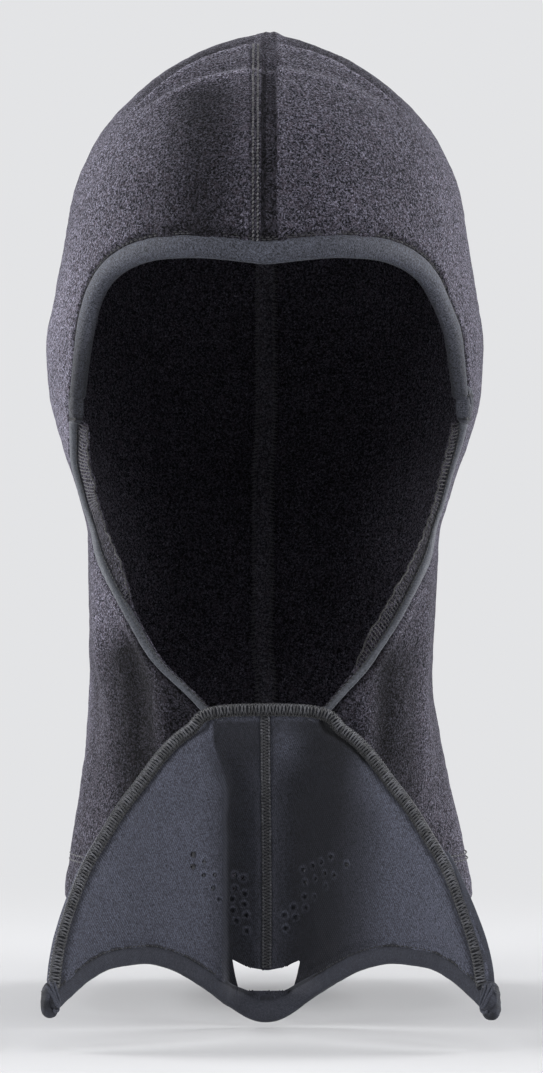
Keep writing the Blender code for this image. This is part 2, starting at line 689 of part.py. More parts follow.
# ---------------------------------------------------------------- magnets and their pockets
def magnet_pockets(place, at, long_axis, cross_axis, size, bar_at, bar_face, parent):
    """A padded pocket (size along long_axis, cross_axis and out), a disc magnet in a blind seat
    open towards -out, and a bar tack across it at bar_at (-1 to 1 along long_axis), on its
    outer (bar_face 1) or its back face (-1); one set on each side."""
    long_axis = unit(np.array(long_axis, float))
    cross_axis = unit(cross_axis - (cross_axis @ long_axis) * long_axis)
    out = np.cross(long_axis, cross_axis)
    half_long, half_cross, half_thick = np.array(size) / 2
    shoulder = half_thick * 0.35   # height of the pocket's full outline and of its seat's floor
    segments = 20

    def disc(radius, height):
        return circle(at + out * height, long_axis, cross_axis, radius, segments)

    def outline(scale, height):
        angle = np.linspace(0, 2 * math.pi, segments + 1)[:-1, None]
        along, across = (np.sign(a) * np.abs(a) ** 0.8 for a in (np.cos(angle), np.sin(angle)))
        return (at + long_axis * half_long * scale * along
                + cross_axis * half_cross * scale * across + out * height)

    seat_radius = MAGNET_R + MAGNET_PLAY
    rings = [disc(seat_radius, shoulder), disc(seat_radius, -half_thick),
             outline(0.80, -half_thick), outline(1.0, -shoulder),
             outline(1.0, shoulder), outline(0.80, half_thick)]
    add_pair(place + "_magnet_pocket", tube(rings), POCKET_TRICOT, parent)

    magnet_top = shoulder - MAGNET_PLAY
    magnet = [disc(MAGNET_R, magnet_top), disc(MAGNET_R, magnet_top - MAGNET_T)]
    add_pair(place + "_magnet", tube(magnet), MAGNET_METAL, parent)

    bar_out = out * bar_face
    bar_centre = at + long_axis * bar_at * half_long + bar_out * (half_thick + 0.35)
    bar = np.array([bar_centre + cross_axis * u + long_axis * w
                    for u, w in flat(half_cross * 2 * 0.6, 1.1)])
    add_pair(place + "_bar_tack", tube([bar, bar + bar_out * 0.6]), PLAIN_THREAD, parent)


def temple_pockets():
    """On the hood, where the mask's tips clip on: between the brow and jaw bindings."""
    path, normals = edge_path(TEMPLE, TEMPLE + 1, 3)
    away, normal = away_from_opening(path, normals)[1], normals[1]
    up = (0, 0, 1)
    magnet_pockets("temple", at=path[1] + away * (BROW_BAND / 2 + 0.1) - normal * 0.5,
                   long_axis=up, cross_axis=np.cross(normal, up), size=(10.2, 7.8, 4.6),
                   bar_at=-0.6, bar_face=1, parent=HOOD_FRAME)


def tip_pockets():
    """On the mask's lower outer corners."""
    down = np.array([0.05, -0.12, -1.0])
    normal = mask_normal(np.array(72.0), np.array(24.0))
    magnet_pockets("tip", at=np.array([77.3, -146.8, 14.5]),
                   long_axis=down, cross_axis=np.cross(normal, down), size=(12.0, 8.4, 4.6),
                   bar_at=-0.85, bar_face=-1, parent=MASK_HINGE)


hood_panels()
brow_binding()
jaw_bindings()
crown_seam()
throat_seam()
neck_hem()
care_label()
mask_panels()
mask_edge_overlocks()
chin_hinge()
eye_edge_bindings()
eye_edge_stitches()
mask_centre_seam()
temple_pockets()
tip_pockets()
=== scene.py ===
"""Ski balaclava: a fleece hood with elastic bindings, and a serged face mask hanging from the chin.

The face looks along -Y, up is +Z and the wearer's left is +X. Tables and shape maths are in mm in
the tables' own frame; build() shifts them onto the CAD pieces and scales them to metres. One half
is usually worked out at x >= 0 and mirrored by a side of 1 (left) or -1 (right).
"""
import bpy
import itertools
import math
import numpy as np
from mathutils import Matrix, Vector, kdtree


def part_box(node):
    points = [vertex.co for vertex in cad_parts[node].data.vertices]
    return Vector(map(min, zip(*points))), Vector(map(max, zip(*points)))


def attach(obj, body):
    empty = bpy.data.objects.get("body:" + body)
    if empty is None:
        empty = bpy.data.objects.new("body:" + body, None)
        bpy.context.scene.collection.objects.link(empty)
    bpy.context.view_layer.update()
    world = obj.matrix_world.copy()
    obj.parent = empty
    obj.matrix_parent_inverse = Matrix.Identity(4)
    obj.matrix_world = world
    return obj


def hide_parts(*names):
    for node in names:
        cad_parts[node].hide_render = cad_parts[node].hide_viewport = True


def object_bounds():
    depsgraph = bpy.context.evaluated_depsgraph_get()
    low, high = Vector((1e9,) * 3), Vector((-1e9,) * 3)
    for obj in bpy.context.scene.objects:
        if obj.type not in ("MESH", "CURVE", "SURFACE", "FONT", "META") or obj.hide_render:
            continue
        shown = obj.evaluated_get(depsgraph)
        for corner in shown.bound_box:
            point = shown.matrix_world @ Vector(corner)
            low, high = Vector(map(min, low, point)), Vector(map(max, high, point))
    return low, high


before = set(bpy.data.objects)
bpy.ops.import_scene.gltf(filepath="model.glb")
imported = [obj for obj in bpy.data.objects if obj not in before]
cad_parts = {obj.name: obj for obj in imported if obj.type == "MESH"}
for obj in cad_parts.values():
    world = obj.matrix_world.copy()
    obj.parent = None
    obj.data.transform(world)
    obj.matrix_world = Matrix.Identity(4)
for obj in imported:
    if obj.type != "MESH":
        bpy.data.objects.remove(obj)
CAD_LO, CAD_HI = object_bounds()
SIDES = {"left": 1, "right": -1}
MIRROR = np.array([-1, 1, 1])

# ------------------------------------------------------------------ dimensions, mm
HINGE_Y, HINGE_Z = -86.0, 113.5              # the chin seam the mask hangs from
hinge_lo, hinge_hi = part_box("chin_hinge_overlock")
CAD_SHIFT = np.array([
    0,
    (hinge_lo.y + hinge_hi.y) * 500.0 - HINGE_Y,
    (hinge_lo.z + hinge_hi.z) * 500.0 - HINGE_Z,
])
FLEECE, NEOPRENE = 2.4, 2.2                  # cloth thickness
BROW_BAND = 8.0
CROWN_STITCH_X = (3.0, 4.75)                 # two rows beside the middle seam
HEM_STITCH_Z = (53.3, 55.4)
HOLE_RADIUS = 0.76
WING_LEAN = 1.5
SOFT_EDGE = 80                               # degrees: rounded pieces keep smooth shading

# Hood stations: z, half width, front y, back y, y of the widest line
LEVELS = np.array([
    (37.5, 78.0, -61.0, 99.0, 17.0), (56.0, 75.5, -62.5, 93.5, 16.0),
    (76.0, 71.8, -66.0, 87.0, 15.0), (95.0, 68.6, -73.0, 81.0, 13.0),
    (113.0, 66.3, -81.3, 77.0, 11.0), (135.0, 66.1, -88.0, 75.0, 9.0),
    (165.0, 67.1, -95.0, 76.0, 8.0), (190.0, 71.2, -98.0, 82.0, 8.0),
    (210.0, 77.4, -99.5, 90.0, 8.0), (230.0, 82.4, -100.5, 96.5, 8.0),
    (250.0, 83.8, -101.0, 101.0, 8.0), (268.0, 80.8, -100.8, 102.5, 8.0),
    (290.0, 77.2, -99.5, 101.5, 8.0), (308.0, 74.0, -95.5, 98.0, 8.0),
    (322.0, 68.4, -88.0, 92.0, 8.0), (335.0, 60.0, -77.0, 83.0, 8.5),
    (346.0, 49.5, -62.0, 71.5, 9.5), (355.0, 38.0, -45.0, 58.0, 10.5),
    (362.5, 24.5, -24.0, 43.0, 11.5), (368.0, 9.5, -6.0, 29.0, 12.0),
    (370.0, 0.0, 0.0, 24.0, 12.0),
])
SQUARE_FRONT, SQUARE_BACK = 2.25, 2.15       # superellipse exponents of the hood's sections
HOOD_LENGTH = 470.0                          # mm up the hood as v goes from 0 to 1
# Face opening, left half from the chin to the brow's middle: x, z
OPENING = [
    (21.4, 113.5), (26.4, 119.0), (34.1, 127.3), (41.9, 138.0), (48.6, 149.0), (54.5, 160.0),
    (59.9, 171.0), (64.7, 184.0), (67.6, 197.0), (70.2, 208.0), (71.1, 218.6), (70.0, 230.0),
    (68.2, 241.0), (66.5, 250.0), (65.0, 258.0), (62.5, 266.0), (57.5, 272.3), (50.0, 276.3),
    (40.0, 278.6), (27.0, 278.8), (12.0, 277.5), (0.0, 276.0),
]
# Outer edge of the mask from the chin down: z, x, y
MASK_EDGE = [
    (111.3, 26.0, -87.0), (107.3, 32.7, -90.0), (100.3, 39.9, -96.0), (91.1, 46.9, -104.5),
    (82.5, 53.8, -112.5), (71.5, 60.7, -122.0), (62.5, 66.1, -129.0), (53.1, 70.3, -135.0),
    (43.6, 74.0, -140.0), (34.4, 76.8, -143.5), (25.9, 78.4, -146.0), (19.0, 79.0, -147.5),
    (0.0, 79.0, -149.0),
]
# Lower edge of the mask from the middle out: x, z
MASK_LOW = [
    (0.0, -1.6), (7.0, 0.4), (14.6, 7.2), (25.5, 15.9), (35.4, 21.8), (44.9, 24.4),
    (55.2, 24.0), (63.5, 20.6), (69.4, 16.0), (74.4, 11.6),
]
# Hole centres per side: distance from the middle, z
HOLES = {
    1: [
        (23.6, 61.1), (20.3, 58.9), (17.4, 57.1), (13.8, 55.3), (29.1, 58.9), (21.4, 54.9),
        (24.7, 54.6), (18.2, 52.4), (14.5, 50.9), (21.8, 50.2), (17.8, 45.8), (14.2, 45.5),
        (14.5, 41.5), (10.9, 37.8), (6.9, 38.6), (7.3, 33.8), (10.2, 41.5),
    ],
    -1: [
        (26.4, 62.4), (26.4, 57.9), (22.6, 54.6), (19.2, 49.8), (11.6, 53.4), (8.6, 52.2),
        (11.6, 48.4), (12.6, 44.6), (12.4, 40.4), (11.0, 36.6), (7.4, 38.6), (7.2, 32.8),
        (8.0, 46.5), (8.2, 42.6), (17.2, 45.6), (18.6, 54.6), (22.4, 59.6),
    ],
}
# Outline of the nostril opening: x, z
NOSTRIL = [
    (-12.3, 22.4), (-7.0, 19.6), (0.4, 18.3), (7.4, 19.7), (12.6, 22.6), (11.4, 17.0),
    (9.7, 11.0), (-9.9, 11.0), (-11.4, 17.0),
]
TIP = np.array([77.3, -146.8, 14.5])         # pocket centre at the mask's wing tip


# ------------------------------------------------------------------ small maths
def hermite(xs, ys, x):
    """Monotone cubic through the points (xs, ys), read at x."""
    gap = np.diff(xs)
    slope = np.diff(ys) / gap
    tangent = np.zeros(len(xs))
    for i in range(1, len(xs) - 1):
        if slope[i - 1] * slope[i] > 0:
            before, after = 2 * gap[i] + gap[i - 1], gap[i] + 2 * gap[i - 1]
            tangent[i] = (before + after) / (before / slope[i - 1] + after / slope[i])
    tangent[0], tangent[-1] = slope[0], slope[-1]
    i = np.clip(np.searchsorted(xs, x) - 1, 0, len(gap) - 1)
    t = np.clip((x - xs[i]) / gap[i], 0, 1)
    return (
        ys[i] * (1 + 2 * t) * (1 - t) ** 2 + gap[i] * tangent[i] * t * (1 - t) ** 2
        + ys[i + 1] * t * t * (3 - 2 * t) - gap[i] * tangent[i + 1] * t * t * (1 - t)
    )


def smooth(t):
    t = np.clip(t, 0, 1)
    return t * t * (3 - 2 * t)


def above(value, start, span):
    """0 up to start, rising smoothly to 1 one span above it."""
    return smooth((value - start) / span)


def below(value, start, span):
    """0 down to start, rising smoothly to 1 one span below it."""
    return smooth((start - value) / span)


def bell(offset, width):
    return np.exp(-(offset / width) ** 2)


def unit(vectors):
    return vectors / np.maximum(np.linalg.norm(vectors, axis=-1, keepdims=True), 1e-9)


def perpendicular(vectors, axis):
    """Unit vectors squared up to unit axes."""
    return unit(vectors - (vectors * axis).sum(-1, keepdims=True) * axis)


def tangents(path):
    return unit(np.gradient(path, axis=0))


def across(path, normals):
    """Unit vectors in the surface, square to the path."""
    return unit(np.cross(tangents(path), normals))


def length_along(points):
    return np.concatenate([[0], np.cumsum(np.linalg.norm(np.diff(points, axis=0), axis=1))])


def sample(at, length, table):
    """Rows of a table, interpolated at these lengths."""
    return np.stack([np.interp(at, length, column) for column in table.T], -1)


def even(points, count):
    """Evenly spaced points on the straight pieces between the given ones."""
    points = np.asarray(points, float)
    length = length_along(points)
    return sample(np.linspace(0, length[-1], count), length, points)


def resample(points, count):
    """Evenly spaced points on a smooth curve through the given ones."""
    points = np.asarray(points, float)
    length = length_along(points)
    want = np.linspace(0, length[-1], count)
    return np.stack([hermite(length, column, want) for column in points.T], -1)


def relax(points, times):
    points = np.array(points, float)
    for _ in range(times):
        points[1:-1] = points[1:-1] * 0.5 + (points[:-2] + points[2:]) * 0.25
    return points


def nearest(values, target):
    return int(np.argmin(np.abs(values - target)))


def subdivide(points, steps):
    """Splits every stretch between points into steps, leaving out the very last point."""
    stretches = np.linspace(points[:-1], points[1:], steps, endpoint=False, axis=1)
    return stretches.reshape(-1, *points.shape[1:])


def wobble(x, seed):
    """Smooth repeatable 1-D noise, about -1 to 1, one feature per unit of x."""
    rng = np.random.default_rng(seed)
    total = np.zeros_like(x)
    for octave in range(4):
        turns = x * 1.6 ** octave * 2 * math.pi
        total += np.sin(turns * rng.uniform(0.7, 1.1) + rng.uniform(0, 6.28)) / 1.5 ** octave
    return total / 2.2


def pucker(length, pitch, wander, wander_span):
    """A wave of this pitch whose phase wanders slowly."""
    return np.sin(length * 2 * math.pi / pitch + wander * np.sin(length / wander_span))


def lattice(i, j, k, seed):
    """Repeatable value from -1 to 1 for a lattice cell."""
    code = (i * 374761393 + j * 668265263 + k * 2147483647 + seed * 1274126177) & 0xFFFFFFFF
    code = ((code ^ (code >> 13)) * 1274126177) & 0xFFFFFFFF
    code = (code ^ (code >> 16)) & 0xFFFF
    return code / 32767.5 - 1.0


def lumps(points, size, seed):
    """Smooth repeatable 3-D noise, -1 to 1, with lumps of this size."""
    cell = np.floor(points / size).astype(np.int64)
    t = smooth(points / size - cell)
    total = 0.0
    for corner in itertools.product((0, 1), repeat=3):
        weight = np.prod(np.where(corner, t, 1 - t), axis=-1)
        total = total + weight * lattice(*np.moveaxis(cell + corner, -1, 0), seed)
    return total


def tree_of(points):
    tree = kdtree.KDTree(len(points))
    for i, point in enumerate(points):
        tree.insert(Vector(point), i)
    tree.balance()
    return tree


class Ribbon:
    """A path with a vector out of the cloth and one across the path at every point."""

    def __init__(self, path, out, across):
        self.path, self.out, self.across = path, out, across

    @property
    def length(self):
        return length_along(self.path)

    def each(self, change):
        return Ribbon(change(self.path), change(self.out), change(self.across))

    def at(self, lengths):
        return self.each(lambda table: sample(lengths, self.length, table))

    def evened(self, count):
        return self.at(np.linspace(0, self.length[-1], count))

    def cut(self, keep):
        return self.each(lambda table: table[keep].copy())

    def mirrored(self, side):
        return self.each(lambda table: table * [side, 1, 1])

    def unit(self):
        return Ribbon(self.path, unit(self.out), unit(self.across))

    def offset(self, over, out):
        """The path moved across and out, by one amount or one for each point."""
        over, out = np.asarray(over)[..., None], np.asarray(out)[..., None]
        return self.path + self.across * over + self.out * out

    def rings(self, over, out):
        """A row of points for every path point; the amounts broadcast to (point, row)."""
        over, out = np.asarray(over)[..., None], np.asarray(out)[..., None]
        return self.path[:, None] + self.across[:, None] * over + self.out[:, None] * out


# ------------------------------------------------------------------ hood surface
# phi runs from 0 in front to pi behind, v from 0 at the neck to 1 at the crown.
STATION_V = np.cumsum(
    np.sqrt((np.diff(LEVELS[:, :4], axis=0, prepend=LEVELS[:1, :4]) ** 2
             * [1, 1, 0.25, 0.25]).sum(1)))
STATION_V /= STATION_V[-1]
TABLE_V = np.linspace(0, 1, 2401)


def soften(column):
    """Rounds the joins between stations, less and less near the crown."""
    keep = below(TABLE_V, 1, 0.05)
    return relax(column, 300) * keep + column * (1 - keep)


LEVEL_TABLE = [soften(hermite(STATION_V, column, TABLE_V)) for column in LEVELS.T]


def level(v):
    return [np.interp(v, TABLE_V, column) for column in LEVEL_TABLE]


def v_at(z):
    return np.interp(z, LEVEL_TABLE[0], TABLE_V)


def hood(phi, v):
    z, half_width, front_y, back_y, middle_y = level(v)
    sine, cosine = np.sin(phi), np.cos(phi)
    power = 2 / np.where(cosine >= 0, SQUARE_FRONT, SQUARE_BACK)
    x = half_width * np.abs(sine) ** power
    reach = np.where(cosine >= 0, front_y - middle_y, back_y - middle_y)
    return np.stack([x, middle_y + reach * np.abs(cosine) ** power, z * np.ones_like(x)], -1)


def hood_normal(phi, v):
    step = 0.004
    over = hood(np.minimum(phi + step, math.pi), v) - hood(np.maximum(phi - step, 0), v)
    up = hood(phi, np.minimum(v + step, 1)) - hood(phi, np.maximum(v - step, 0))
    return unit(np.cross(over, up))


def phi_of_x(x, v):
    """phi of a point on the front half at this x."""
    return np.arcsin(np.clip(x / np.maximum(level(v)[1], 1e-6), 0, 1) ** (SQUARE_FRONT / 2))


def phi_and_v(points):
    v = v_at(points[..., 2])
    _, half_width, front_y, back_y, middle_y = level(v)
    y = points[..., 1]
    front = y < middle_y
    power = np.where(front, SQUARE_FRONT, SQUARE_BACK) / 2
    sine = np.clip(points[..., 0] / np.maximum(half_width, 1e-6), 0, 1.2) ** power
    reach = np.where(front, front_y - middle_y, back_y - middle_y)
    cosine = np.abs((y - middle_y) / reach) ** power
    return np.arctan2(sine, np.where(front, cosine, -cosine)), v


def opening_edge():
    """The opening's edge from chin to brow; across points away from the face."""
    outline = relax(resample(OPENING, 400), 60)
    v = v_at(outline[:, 1])
    phi = phi_of_x(outline[:, 0], v)
    path, normals = hood(phi, v), hood_normal(phi, v)
    path[-1, 0] = 0.0
    normals[-1] = unit(normals[-1] * [0, 1, 1])
    away = across(path, normals)
    away[-1] = unit(away[-1] * [0, 1, 1])
    return Ribbon(path, normals, away), v


EDGE, EDGE_V = opening_edge()
EDGE_Z, EDGE_LENGTH = EDGE.path[:, 2], EDGE.length


# ------------------------------------------------------------------ mesh building
def settle(points):
    """Sideways shift of the hood: the lean of jaw and neck, and the hollow behind each jaw."""
    x, y, z = points.T
    left, right = x > 0, x < 0
    reach = np.abs(x) / np.maximum(np.interp(z, LEVEL_TABLE[0], LEVEL_TABLE[1]), 1)
    lean = -1.25 * above(z, 116, 20) * (1 - above(z, 200, 22)) - 0.5 * bell(z - 133, 9)
    rim = above(reach, 0.78, 0.20)
    inner = above(reach, 0.15, 0.45) * (1 - above(reach, 0.90, 0.10)) * above(z, 118, 14)
    inner = inner * (1 - above(z, np.where(left, 250, 202), np.where(left, 18, 12)))
    out = np.where(left, 1.8 + 0.35 * above(z, 205, 15), 0.9) * inner * below(y, 20, 30)
    out = out - rim * (1.2 * bell(z - 180, 8) + 1.7 * left * bell(z - 119, 10))
    out = out + 0.9 * right * rim * bell(z - 148, 14)
    out = out - 1.25 * right * above(reach, 0.955, 0.045) * bell(z - 196, 15)
    return lean + np.sign(x) * out


def build(name, mesh, material, body, cad=None, uv=None, shade=1.0, orient=True,
          sharp=48.0):
    """A visible piece from (points, faces); uv and shade are given for each point."""
    points, faces = mesh
    points = np.array(points, float)
    if body == "hood":
        points[:, 0] += settle(points)
    metres = (points + CAD_SHIFT) * 0.001
    data = bpy.data.meshes.new(name)
    data.from_pydata(metres.tolist(), [], [list(map(int, face)) for face in faces])
    data.update()
    if orient:
        data.calc_loop_triangles()
        corners = np.zeros(len(data.loop_triangles) * 3, np.int32)
        data.loop_triangles.foreach_get("vertices", corners)
        first, second, third = metres[corners.reshape(-1, 3).T]
        if np.einsum("ij,ij->i", first, np.cross(second, third)).sum() < 0:
            data.flip_normals()
    if uv is not None:
        index = np.zeros(len(data.loops), np.int32)
        data.loops.foreach_get("vertex_index", index)
        layer = data.uv_layers.new(name="UVMap")
        layer.data.foreach_set("uv", np.asarray(uv, np.float32)[index].ravel())
    attribute = data.attributes.new("shade", "FLOAT", "POINT")
    attribute.data.foreach_set("value", np.full(len(points), shade, np.float32))
    data.shade_smooth()
    data.set_sharp_from_angle(angle=math.radians(sharp))
    piece = bpy.data.objects.new(name, data)
    bpy.context.scene.collection.objects.link(piece)
    data.materials.append(material)
    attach(piece, body)
    if cad:
        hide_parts(cad)


def grid_quads(rows, columns, wrap=False, base=0):
    i, j = np.meshgrid(np.arange(rows if wrap else rows - 1), np.arange(columns - 1),
                       indexing="ij")
    here, ahead = i * columns + j, (i + 1) % rows * columns + j
    return np.stack([here, ahead, ahead + 1, here + 1], -1).reshape(-1, 4) + base


def masked_slab(front, back, keep=None):
    """Closed solid between two grids over the kept quads, walled round every border.

    Also returns which of the front and back points were used."""
    rows, columns = front.shape[:2]
    count = rows * columns
    if keep is None:
        keep = np.ones((rows - 1, columns - 1), bool)
    index = np.arange(count).reshape(rows, columns)
    a, b, c, d = index[:-1, :-1], index[1:, :-1], index[1:, 1:], index[:-1, 1:]
    quads = np.stack([a, b, c, d], -1)[keep]
    faces = [quads, quads[:, ::-1] + count]
    padded = np.pad(keep, 1)
    neighbours = (
        (padded[1:-1, :-2], a, b), (padded[2:, 1:-1], b, c),
        (padded[1:-1, 2:], c, d), (padded[:-2, 1:-1], d, a),
    )
    for other, start, end in neighbours:
        border = keep & ~other
        start, end = start[border], end[border]
        faces.append(np.stack([end, start, start + count, end + count], -1))
    used, faces = np.unique(np.concatenate(faces), return_inverse=True)
    points = np.concatenate([front.reshape(-1, 3), back.reshape(-1, 3)])[used]
    return points, faces.reshape(-1, 4), used


def thick_sheet(outer, inner, step):
    """Closed sheet: the fine outer grid, every step-th point of the inner one, and walls."""
    inner = inner[::step, ::step]
    fine = np.arange(outer[..., 0].size).reshape(outer.shape[:2])
    coarse = np.arange(inner[..., 0].size).reshape(inner.shape[:2]) + fine.size
    faces = grid_quads(*fine.shape).tolist()
    faces += grid_quads(*coarse.shape, base=fine.size)[:, ::-1].tolist()
    for rims in (
        ((fine[0], coarse[0], 1), (fine[-1], coarse[-1], -1)),
        ((fine[:, 0], coarse[:, 0], -1), (fine[:, -1], coarse[:, -1], 1)),
    ):
        for i in range(len(rims[0][1]) - 1):
            for fine_rim, coarse_rim, turn in rims:
                face = [*fine_rim[i * step:(i + 1) * step + 1], coarse_rim[i + 1], coarse_rim[i]]
                faces.append(face[::turn])
    return np.concatenate([outer.reshape(-1, 3), inner.reshape(-1, 3)]), faces


def tubes(rings):
    """Closed tubes with flat caps through rings (tube, ring, side, 3)."""
    count, length, sides = rings.shape[:3]
    base = (np.arange(count) * length * sides)[:, None]
    i, j = np.meshgrid(np.arange(length - 1) * sides, np.arange(sides), indexing="ij")
    beside = (j + 1) % sides
    quads = np.stack([i + j, i + beside, i + sides + beside, i + sides + j], -1).reshape(-1, 4)
    quads = (quads[None] + base[:, :, None]).reshape(-1, 4)
    first, last = np.arange(sides)[::-1] + base, np.arange(sides) + (length - 1) * sides + base
    return rings.reshape(-1, 3), quads.tolist() + first.tolist() + last.tolist()


def sweep(rings):
    return tubes(rings[None])


def pipes(paths, outward, radius, sides=6):
    """Round threads with narrowed ends along paths (thread, point, 3)."""
    along = unit(np.gradient(paths, axis=1))
    out = perpendicular(outward, along)
    over = np.cross(along, out)
    angle = np.linspace(0, 2 * math.pi, sides, endpoint=False)[:, None]
    radii = np.full(paths.shape[1], radius, float)
    radii[[0, -1]] *= 0.55
    ring = out[:, :, None] * np.cos(angle) + over[:, :, None] * np.sin(angle)
    return tubes(paths[:, :, None] + ring * radii[:, None, None])


def pipe(path, outward, radius, sides=6):
    return pipes(path[None], outward, radius, sides)


def mottled(count, each, seed, low, high):
    """One random shade for every run of this many points."""
    return np.repeat(np.random.default_rng(seed).uniform(low, high, count // each), each)


def join(*meshes):
    points, faces, start = [], [], 0
    for part_points, part_faces in meshes:
        points.append(part_points)
        faces += [[i + start for i in face] for face in part_faces]
        start += len(part_points)
    return np.concatenate(points), faces


STITCH_POINTS = 7 * 6                        # points along a stitch times its sides


def stitches(path, normals, pitch, fill, radius, lift=0.0, arch=0.25, seed=1, side_wave=0.0,
             skew=0.0):
    """A row of short arched stitches along a path."""
    total = length_along(path)[-1]
    count = max(2, int(total / pitch))
    rng = np.random.default_rng(seed)
    u = np.linspace(0, 1, 7)
    start = np.arange(count)[:, None] * (total / count)
    at = start + (total / count) * fill * u + rng.uniform(-0.05, 0.05, (count, 1)) * pitch
    row = Ribbon(path, normals, np.cross(tangents(path), normals)).at(at).unit()
    over = (u - 0.5) * skew + side_wave * rng.uniform(-1, 1, (count, 1))
    return pipes(row.offset(over, lift + arch * np.sin(u * math.pi)), row.out, radius)


def closed_profile(points, count):
    """Evenly spaced points round a closed outline; the outline is cut into count - 1 parts."""
    return even(points + points[:1], count)[:-1]


def girth(profile):
    """Distance round a closed profile at each of its points."""
    return length_along(np.concatenate([profile, profile[:1]]))[:-1]


def strip_uv(along, around):
    return np.stack([np.repeat(along, len(around)), np.tile(around, len(along))], -1)


# ------------------------------------------------------------------ materials
class Graph:
    """Builds a node tree; an input takes a plain value or another node's output."""

    def __init__(self, tree):
        self.tree = tree

    def feed(self, node, inputs):
        for key, value in inputs.items():
            if isinstance(value, bpy.types.NodeSocket):
                self.tree.links.new(value, node.inputs[key])
            else:
                node.inputs[key].default_value = value

    def node(self, kind, inputs=None, **settings):
        node = self.tree.nodes.new(kind)
        for name, value in settings.items():
            setattr(node, name, value)
        self.feed(node, inputs or {})
        return node

    def surface(self, **inputs):
        """Feeds the Principled shader; underscores stand for the spaces in input names."""
        shader = self.tree.nodes["Principled BSDF"]
        self.feed(shader, {name.replace("_", " "): value for name, value in inputs.items()})
        return shader.outputs[0]

    def math(self, operation, first, second=0.0):
        node = self.node("ShaderNodeMath", {0: first, 1: second}, operation=operation)
        return node.outputs[0]

    def add(self, first, second):
        return self.math("ADD", first, second)

    def mul(self, first, second):
        return self.math("MULTIPLY", first, second)

    def remap(self, value, gain, plus):
        return self.add(self.mul(value, gain), plus)

    def weigh(self, first, first_gain, second, second_gain):
        return self.add(self.mul(first, first_gain), self.mul(second, second_gain))

    def mix(self, factor, first, second):
        inputs = {"Factor": factor, 6: first, 7: second}
        return self.node("ShaderNodeMix", inputs, data_type="RGBA").outputs[2]

    def ramp(self, factor, *stops):
        node = self.node("ShaderNodeValToRGB", {0: factor})
        elements = node.color_ramp.elements
        while len(elements) < len(stops):
            elements.new(0.5)
        for element, (position, colour) in zip(elements, stops):
            element.position = position
            element.color = (*(colour if isinstance(colour, tuple) else (colour,) * 3), 1)
        return node.outputs[0]

    def noise(self, vector, scale, detail, rough=0.5, distortion=0.0):
        return self.node("ShaderNodeTexNoise", {
            "Vector": vector, "Scale": scale, "Detail": detail, "Roughness": rough,
            "Distortion": distortion,
        }).outputs["Fac"]

    def coords(self, kind="Object"):
        return self.node("ShaderNodeTexCoord").outputs[kind]

    def shade(self):
        return self.node("ShaderNodeAttribute", attribute_name="shade").outputs["Fac"]

    def toned(self, colour, tone):
        inputs = {"Value": tone, "Color": colour}
        return self.node("ShaderNodeHueSaturation", inputs).outputs[0]

    def bump(self, height, distance, strength):
        inputs = {"Height": height, "Distance": distance, "Strength": strength}
        return self.node("ShaderNodeBump", inputs).outputs[0]


def new_material(name):
    material = bpy.data.materials.new(name)
    material.use_nodes = True
    return material, Graph(material.node_tree)


def scaled(colour, gain):
    return tuple(min(1.0, channel * gain) for channel in colour)


def fleece_material(name, dark, light, fleck, sheen):
    """Brushed heather fleece: curled nap, clumps, lint, darker where the shade is low."""
    material, g = new_material(name)
    place = g.coords()
    fibre = g.noise(place, scale=1250, detail=3.0, rough=0.62, distortion=0.35)
    fine = g.noise(place, scale=2900, detail=2.0, rough=0.6, distortion=0.2)
    clump = g.noise(place, scale=300, detail=3.0, rough=0.6, distortion=0.4)
    cloud = g.noise(place, scale=38, detail=3.0, rough=0.55, distortion=0.3)
    nap = g.weigh(fibre, 0.66, fine, 0.34)
    heather = g.ramp(nap, (0.43, 0.0), (0.495, 0.16), (0.535, 0.52), (0.59, 1.0))
    colour = g.mix(heather, (*dark, 1), (*light, 1))
    lint = g.noise(place, scale=1500, detail=2.0, rough=0.7, distortion=0.8)
    spark = g.ramp(lint, (0.60, 0.0), (0.67, 1.0))
    colour = g.mix(g.mul(spark, fleck), colour, (*scaled(light, 2.3), 1))
    warm = g.ramp(g.noise(place, scale=520, detail=2.0, rough=0.6), (0.5, 0.0), (0.66, 1.0))
    warm_colour = (light[0] * 0.72, light[1] * 0.62, light[2] * 0.60, 1)
    colour = g.mix(g.mul(warm, 0.35), colour, warm_colour)
    tone = g.mul(g.remap(cloud, gain=0.60, plus=0.70), g.shade())
    tone = g.mul(tone, g.remap(clump, gain=0.9, plus=0.55))
    height = g.add(g.weigh(fibre, 0.55, fine, 0.20), g.mul(clump, 0.8))
    g.surface(
        Base_Color=g.toned(colour, tone),
        Normal=g.bump(height, distance=0.0007, strength=0.7),
        Roughness=0.97,
        Specular_IOR_Level=0.10,
        Sheen_Weight=g.mul(g.mul(heather, sheen), g.shade()),
        Sheen_Roughness=0.45,
        Sheen_Tint=(0.80, 0.79, 0.92, 1),
    )
    return material


